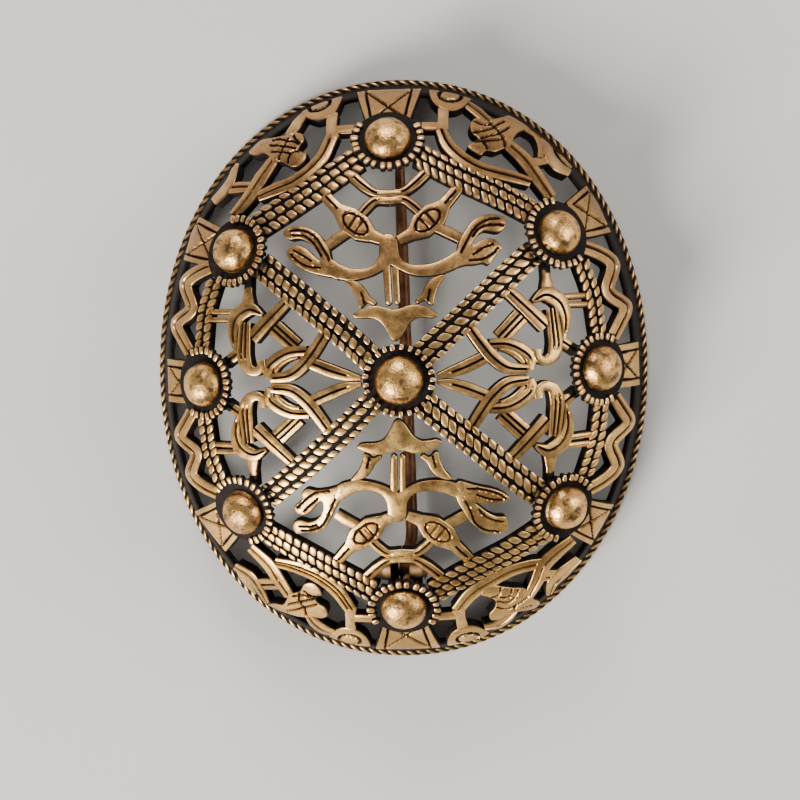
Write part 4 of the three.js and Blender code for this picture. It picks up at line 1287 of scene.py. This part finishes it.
# Its upper colour is darker and pinker: a pinker tone, and painted shade on the half away from the key
# light.
lattice_bronze = cast_metal("lattice_bronze", (0.9, 0.55, 0.185), (0.48, 0.265, 0.083), (0.36, 0.19, 0.082))
boss_bronze = cast_metal("boss_bronze", (0.92, 0.53, 0.16), (0.56, 0.285, 0.09), (0.74, 0.41, 0.135),
                         pits=0.8, rough=(0.24, 0.42), stains=0.95, stain_from=(0.46, 0.64), dents=0.0004)
pad_bronze = cast_metal("pad_bronze", (0.13, 0.06, 0.03), (0.09, 0.038, 0.02), (0.11, 0.05, 0.026),
                        rough=(0.4, 0.6))
# Dark reddish tones: tarnished wire, and painted shade for the pin lying under the shell.
pin_bronze = drawn_metal("pin_bronze", (0.36, 0.17, 0.085), (0.22, 0.1, 0.05))


# ---- Pieces of the cast shell ------------------------------------------------------------

softened = relief_map([lattice, masks, beasts, bands, band_beading, bosses, boss_beading, plaques])

for casting, material in (
    (lattice, lattice_bronze), (masks, lattice_bronze), (beasts, lattice_bronze), (bands, lattice_bronze),
    (band_beading, lattice_bronze), (bosses, boss_bronze), (boss_beading, lattice_bronze),
    (plaques, lattice_bronze), (rope, lattice_bronze), (wall, lattice_bronze), (pads, pad_bronze),
):
    wear_and_shade, edge = wear_and_shade_of(casting, softened)
    if casting is bands:
        wear_and_shade, edge = wear_and_shade * BAND_WEAR_AND_SHADE, edge * 0.0
    if casting in (rope, wall, bosses):
        wear_and_shade = smooth_step(*SHELL_DROP, np.concatenate(casting.drop))
        edge = wear_and_shade * SHELL_EDGE
    piece = object_from(casting, wear_and_shade, edge)
    piece.data.materials.append(material)
    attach(piece, "brooch")
    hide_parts("shell")


# ---- Hinge, catch and pin ----------------------------------------------------------------

LUG_BEVEL = 0.22
CATCH_BEVEL = 0.2
HEAD_BEVEL = 0.2
PIN_SIDES = 28
HEAD_SIDES = 40
RIVET_SIDES = 32
CREASE = math.radians(40)
SHARPEST_CORNER = 0.4  # keeps the bevel from running in too far at sharp corners


def capped_faces(rings, sides):
    """A tube's quads, and one flat face at each end."""
    last = (rings - 1) * sides
    return [*tube_faces(rings, sides).tolist(), list(range(sides))[::-1], list(range(last, last + sides))]


def mesh_object(name, points, faces, material, body, slot, replaced):
    """A piece from points in millimetres, given before the design's turn."""
    points = np.concatenate([turn(points[:, :2]), points[:, 2:]], -1) * MM
    mesh = bpy.data.meshes.new(name)
    mesh.from_pydata([tuple(p) for p in points], [], [tuple(f) for f in faces])
    mesh.validate()
    mesh.shade_smooth()
    mesh.set_sharp_from_angle(angle=CREASE)
    mesh.materials.append(material)
    piece = placed(name, mesh)
    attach(piece, body)
    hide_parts(replaced)


def upright_plate(outline, thickness, bevel, axis, start, heading):
    """A plate bevelled at both faces: its points and faces.

    It stands square to x, where axis is 0, or to y, where it is 1. It begins at start and
    thickens with the axis, where heading is 1, or against it, where it is -1.
    """
    q = np.asarray(outline, float)
    a = unit(q - np.roll(q, 1, 0))
    b = unit(np.roll(q, -1, 0) - q)
    inward = unit(left_of(a + b)) * (1 if turns_left(q) else -1)
    lean = np.maximum(np.abs((inward * left_of(a)).sum(1)), SHARPEST_CORNER)
    near = [(0, bevel), (0.3 * bevel, 0.3 * bevel), (bevel, 0)]
    far = [(thickness - depth, inset) for depth, inset in near[::-1]]
    rings = [np.insert(q + inward * (inset / lean)[:, None], axis, start + heading * depth, axis=1)
             for depth, inset in near + far]
    return np.concatenate(rings), capped_faces(len(rings), len(q))


def lug_outline():
    angles = math.pi + np.arange(13) / 12 * math.pi
    y, z = HINGE_Y + HEAD_RADIUS * np.cos(angles), PIN_HEIGHT + HEAD_RADIUS * np.sin(angles)
    return [(HINGE_Y - LUG_HALF_ROOT, LUG_ROOF), *zip(y, z), (HINGE_Y + LUG_HALF_ROOT, LUG_ROOF)]


def catch_outline():
    """A wall beside the pin, and a lip under it that curls up again."""
    near = PIN_ASIDE - PIN_RADIUS - CLEARANCE - CATCH_THICKNESS - CATCH_CURL
    far = near + CATCH_THICKNESS
    return [
        (near, CATCH_ROOF), (near, PIN_HEIGHT - 0.6), (near + 0.12, PIN_HEIGHT - 1.35),
        (near + CATCH_CURL, PIN_HEIGHT - 1.95), (near + 1.1, PIN_HEIGHT - 2.2),
        (far + CATCH_CURL / 2, PIN_HEIGHT - 2.1), (far + CATCH_CURL, PIN_HEIGHT - 1.6),
        (far + CATCH_CURL, PIN_HEIGHT - 1.1), (far, PIN_HEIGHT - 0.3), (far, CATCH_ROOF),
    ]


for side, label in ((-1, "left"), (1, "right")):
    inner = HINGE_ASIDE + side * (HEAD_WIDTH / 2 + CLEARANCE)
    start = min(inner, inner + side * LUG_THICKNESS)
    points, faces = upright_plate(lug_outline(), LUG_THICKNESS, LUG_BEVEL, 0, start, 1)
    mesh_object(f"hinge_lug_{label}", points, faces, pad_bronze, "brooch", "cast_bronze", "shell")

points, faces = upright_plate(catch_outline(), CATCH_DEPTH, CATCH_BEVEL, 1, CATCH_Y + CATCH_DEPTH / 2, -1)
mesh_object("catch_plate", points, faces, pad_bronze, "brooch", "cast_bronze", "shell")


def turned_on_hinge(rows, sides):
    """Rings of points round the hinge's axis; rows are (aside from the hinge, radius)."""
    a = angles_round(sides)
    aside, radius = np.array(rows).T[..., None]
    rings = [HINGE_ASIDE + aside + 0 * a, HINGE_Y + radius * np.cos(a), PIN_HEIGHT + radius * np.sin(a)]
    return np.stack(rings, -1).reshape(-1, 3)


def shank_mesh():
    start = HINGE_Y + HEAD_RADIUS - 0.6
    path = [
        (HINGE_ASIDE + 0.1, start, 0.98), (HINGE_ASIDE + 0.25, start + 1.2, 1.0),
        (HINGE_ASIDE + 0.5, start + 2.4, PIN_RADIUS), (PIN_ASIDE - 0.15, start + 4.0, PIN_RADIUS),
        (PIN_ASIDE, start + 5.5, PIN_RADIUS), (PIN_ASIDE, -14, PIN_RADIUS), (PIN_ASIDE, 0, PIN_RADIUS),
        (PIN_ASIDE, 15, PIN_RADIUS), (PIN_ASIDE, CATCH_Y - 8, 0.95), (PIN_ASIDE, CATCH_Y - 3, 0.85),
        (PIN_ASIDE, CATCH_Y, 0.73), (PIN_ASIDE, PIN_TIP_Y - 2, 0.5), (PIN_ASIDE, PIN_TIP_Y - 0.6, 0.28),
        (PIN_ASIDE, PIN_TIP_Y, 0.08),
    ]
    a = angles_round(PIN_SIDES)
    x, y, radius = np.array(path).T[..., None]
    points = np.stack([x + radius * np.cos(a), y + 0 * a, PIN_HEIGHT + radius * np.sin(a)], -1)
    return points.reshape(-1, 3), [face[::-1] for face in capped_faces(len(path), PIN_SIDES)]


def head_mesh():
    half = HEAD_WIDTH / 2
    bore = AXLE_RADIUS + CLEARANCE
    right = [
        (half - HEAD_BEVEL, HEAD_RADIUS), (half - HEAD_BEVEL * 0.3, HEAD_RADIUS - HEAD_BEVEL * 0.3),
        (half, HEAD_RADIUS - HEAD_BEVEL), (half, bore + HEAD_BEVEL), (half - HEAD_BEVEL, bore),
    ]
    left = [(-x, radius) for x, radius in right[::-1]]
    rows = [*left[1:], *right, left[0]]
    return turned_on_hinge(rows, HEAD_SIDES), tube_faces(len(rows), HEAD_SIDES, True).tolist()


def rivet_mesh():
    reach = HEAD_WIDTH / 2 + CLEARANCE + LUG_THICKNESS + CLEARANCE
    dome = [(0.0, 1.0), (0.25, 0.97), (0.55, 0.84), (0.8, 0.6), (0.95, 0.3), (1.0, 0.02)]
    right = [(reach, AXLE_RADIUS)] + [(reach + RIVET_HEAD * t, AXLE_RADIUS * 2 * k) for t, k in dome]
    rows = [*((-x, radius) for x, radius in right[::-1]), *right]
    return turned_on_hinge(rows, RIVET_SIDES), capped_faces(len(rows), RIVET_SIDES)


shank_points, shank_faces = shank_mesh()
head_points, head_faces = head_mesh()
head_faces = [[len(shank_points) + i for i in face] for face in head_faces]
mesh_object("pin_wire", np.concatenate([shank_points, head_points]), shank_faces + head_faces, pin_bronze,
            "pin", "pin_bronze", "pin")
mesh_object("rivet_with_domed_heads", *rivet_mesh(), pin_bronze, "brooch", "pin_bronze", "hinge_rivet")


# ---- Stage, light and camera, in metres --------------------------------------------------

FLOOR_HALF = 1.6
LIGHT_AIM = (0, 0, 0.01)
CAMERA_AWAY = 0.55
CAMERA_LEAN_ASIDE = math.radians(-1.9)
CAMERA_LEAN_ALONG = math.radians(-4.2)
CAMERA_SHIFT = (-0.00406, -0.0385)  # shares of the picture's width
FRAME_WIDTH = 0.13877  # what the picture takes in across, at the brooch's foot
SENSOR_WIDTH = 36.0


def floor():
    corners = [(x * FLOOR_HALF, y * FLOOR_HALF, 0) for x, y in ((-1, -1), (1, -1), (1, 1), (-1, 1))]
    mesh = bpy.data.meshes.new("floor")
    mesh.from_pydata(corners, [], [(0, 1, 2, 3)])
    mesh.materials.append(floor_paint())
    piece = placed("floor", mesh)


def area_light(name, place, size, power, colour):
    data = bpy.data.lights.new(name, "AREA")
    data.shape = "RECTANGLE"
    data.size, data.size_y = size
    data.energy = power
    data.color = colour
    lamp = placed(name, data)
    lamp.location = place
    lamp.rotation_euler = Vector(np.subtract(LIGHT_AIM, place)).to_track_quat("-Z", "Y").to_euler()


def camera():
    """Almost straight above, leaning a little to the catch's end."""
    back = np.array([
        -math.cos(CAMERA_LEAN_ALONG) * math.sin(CAMERA_LEAN_ASIDE),
        -math.sin(CAMERA_LEAN_ALONG),
        math.cos(CAMERA_LEAN_ALONG) * math.cos(CAMERA_LEAN_ASIDE),
    ])
    right = np.array([math.cos(CAMERA_LEAN_ASIDE), 0, math.sin(CAMERA_LEAN_ASIDE)])
    basis = np.stack([right, np.cross(back, right), back], 1)
    data = bpy.data.cameras.new("camera")
    data.sensor_width = SENSOR_WIDTH
    data.lens = SENSOR_WIDTH * CAMERA_AWAY / FRAME_WIDTH
    data.shift_x, data.shift_y = CAMERA_SHIFT
    data.clip_start = 0.01
    data.dof.use_dof = False
    eye = placed("camera", data)
    eye.matrix_world = Matrix.Translation(back * CAMERA_AWAY) @ Matrix(basis.tolist()).to_4x4()
    bpy.context.scene.camera = eye


floor()
camera()
area_light("key", (-0.55, -0.6, 0.55), (0.36, 0.36), 20.0, (1.0, 0.97, 0.92))
area_light("fill", (0.75, 0.15, 0.5), (0.5, 0.5), 5.0, (1.0, 0.98, 0.96))
area_light("back", (-0.1, 0.8, 0.5), (0.35, 0.25), 5.5, (1.0, 0.96, 0.93))

world = bpy.data.worlds.new("studio")
world.use_nodes = True
background = world.node_tree.nodes["Background"]
background.inputs[0].default_value = (0.8, 0.8, 0.82, 1.0)
background.inputs[1].default_value = 0.3
bpy.context.scene.world = world
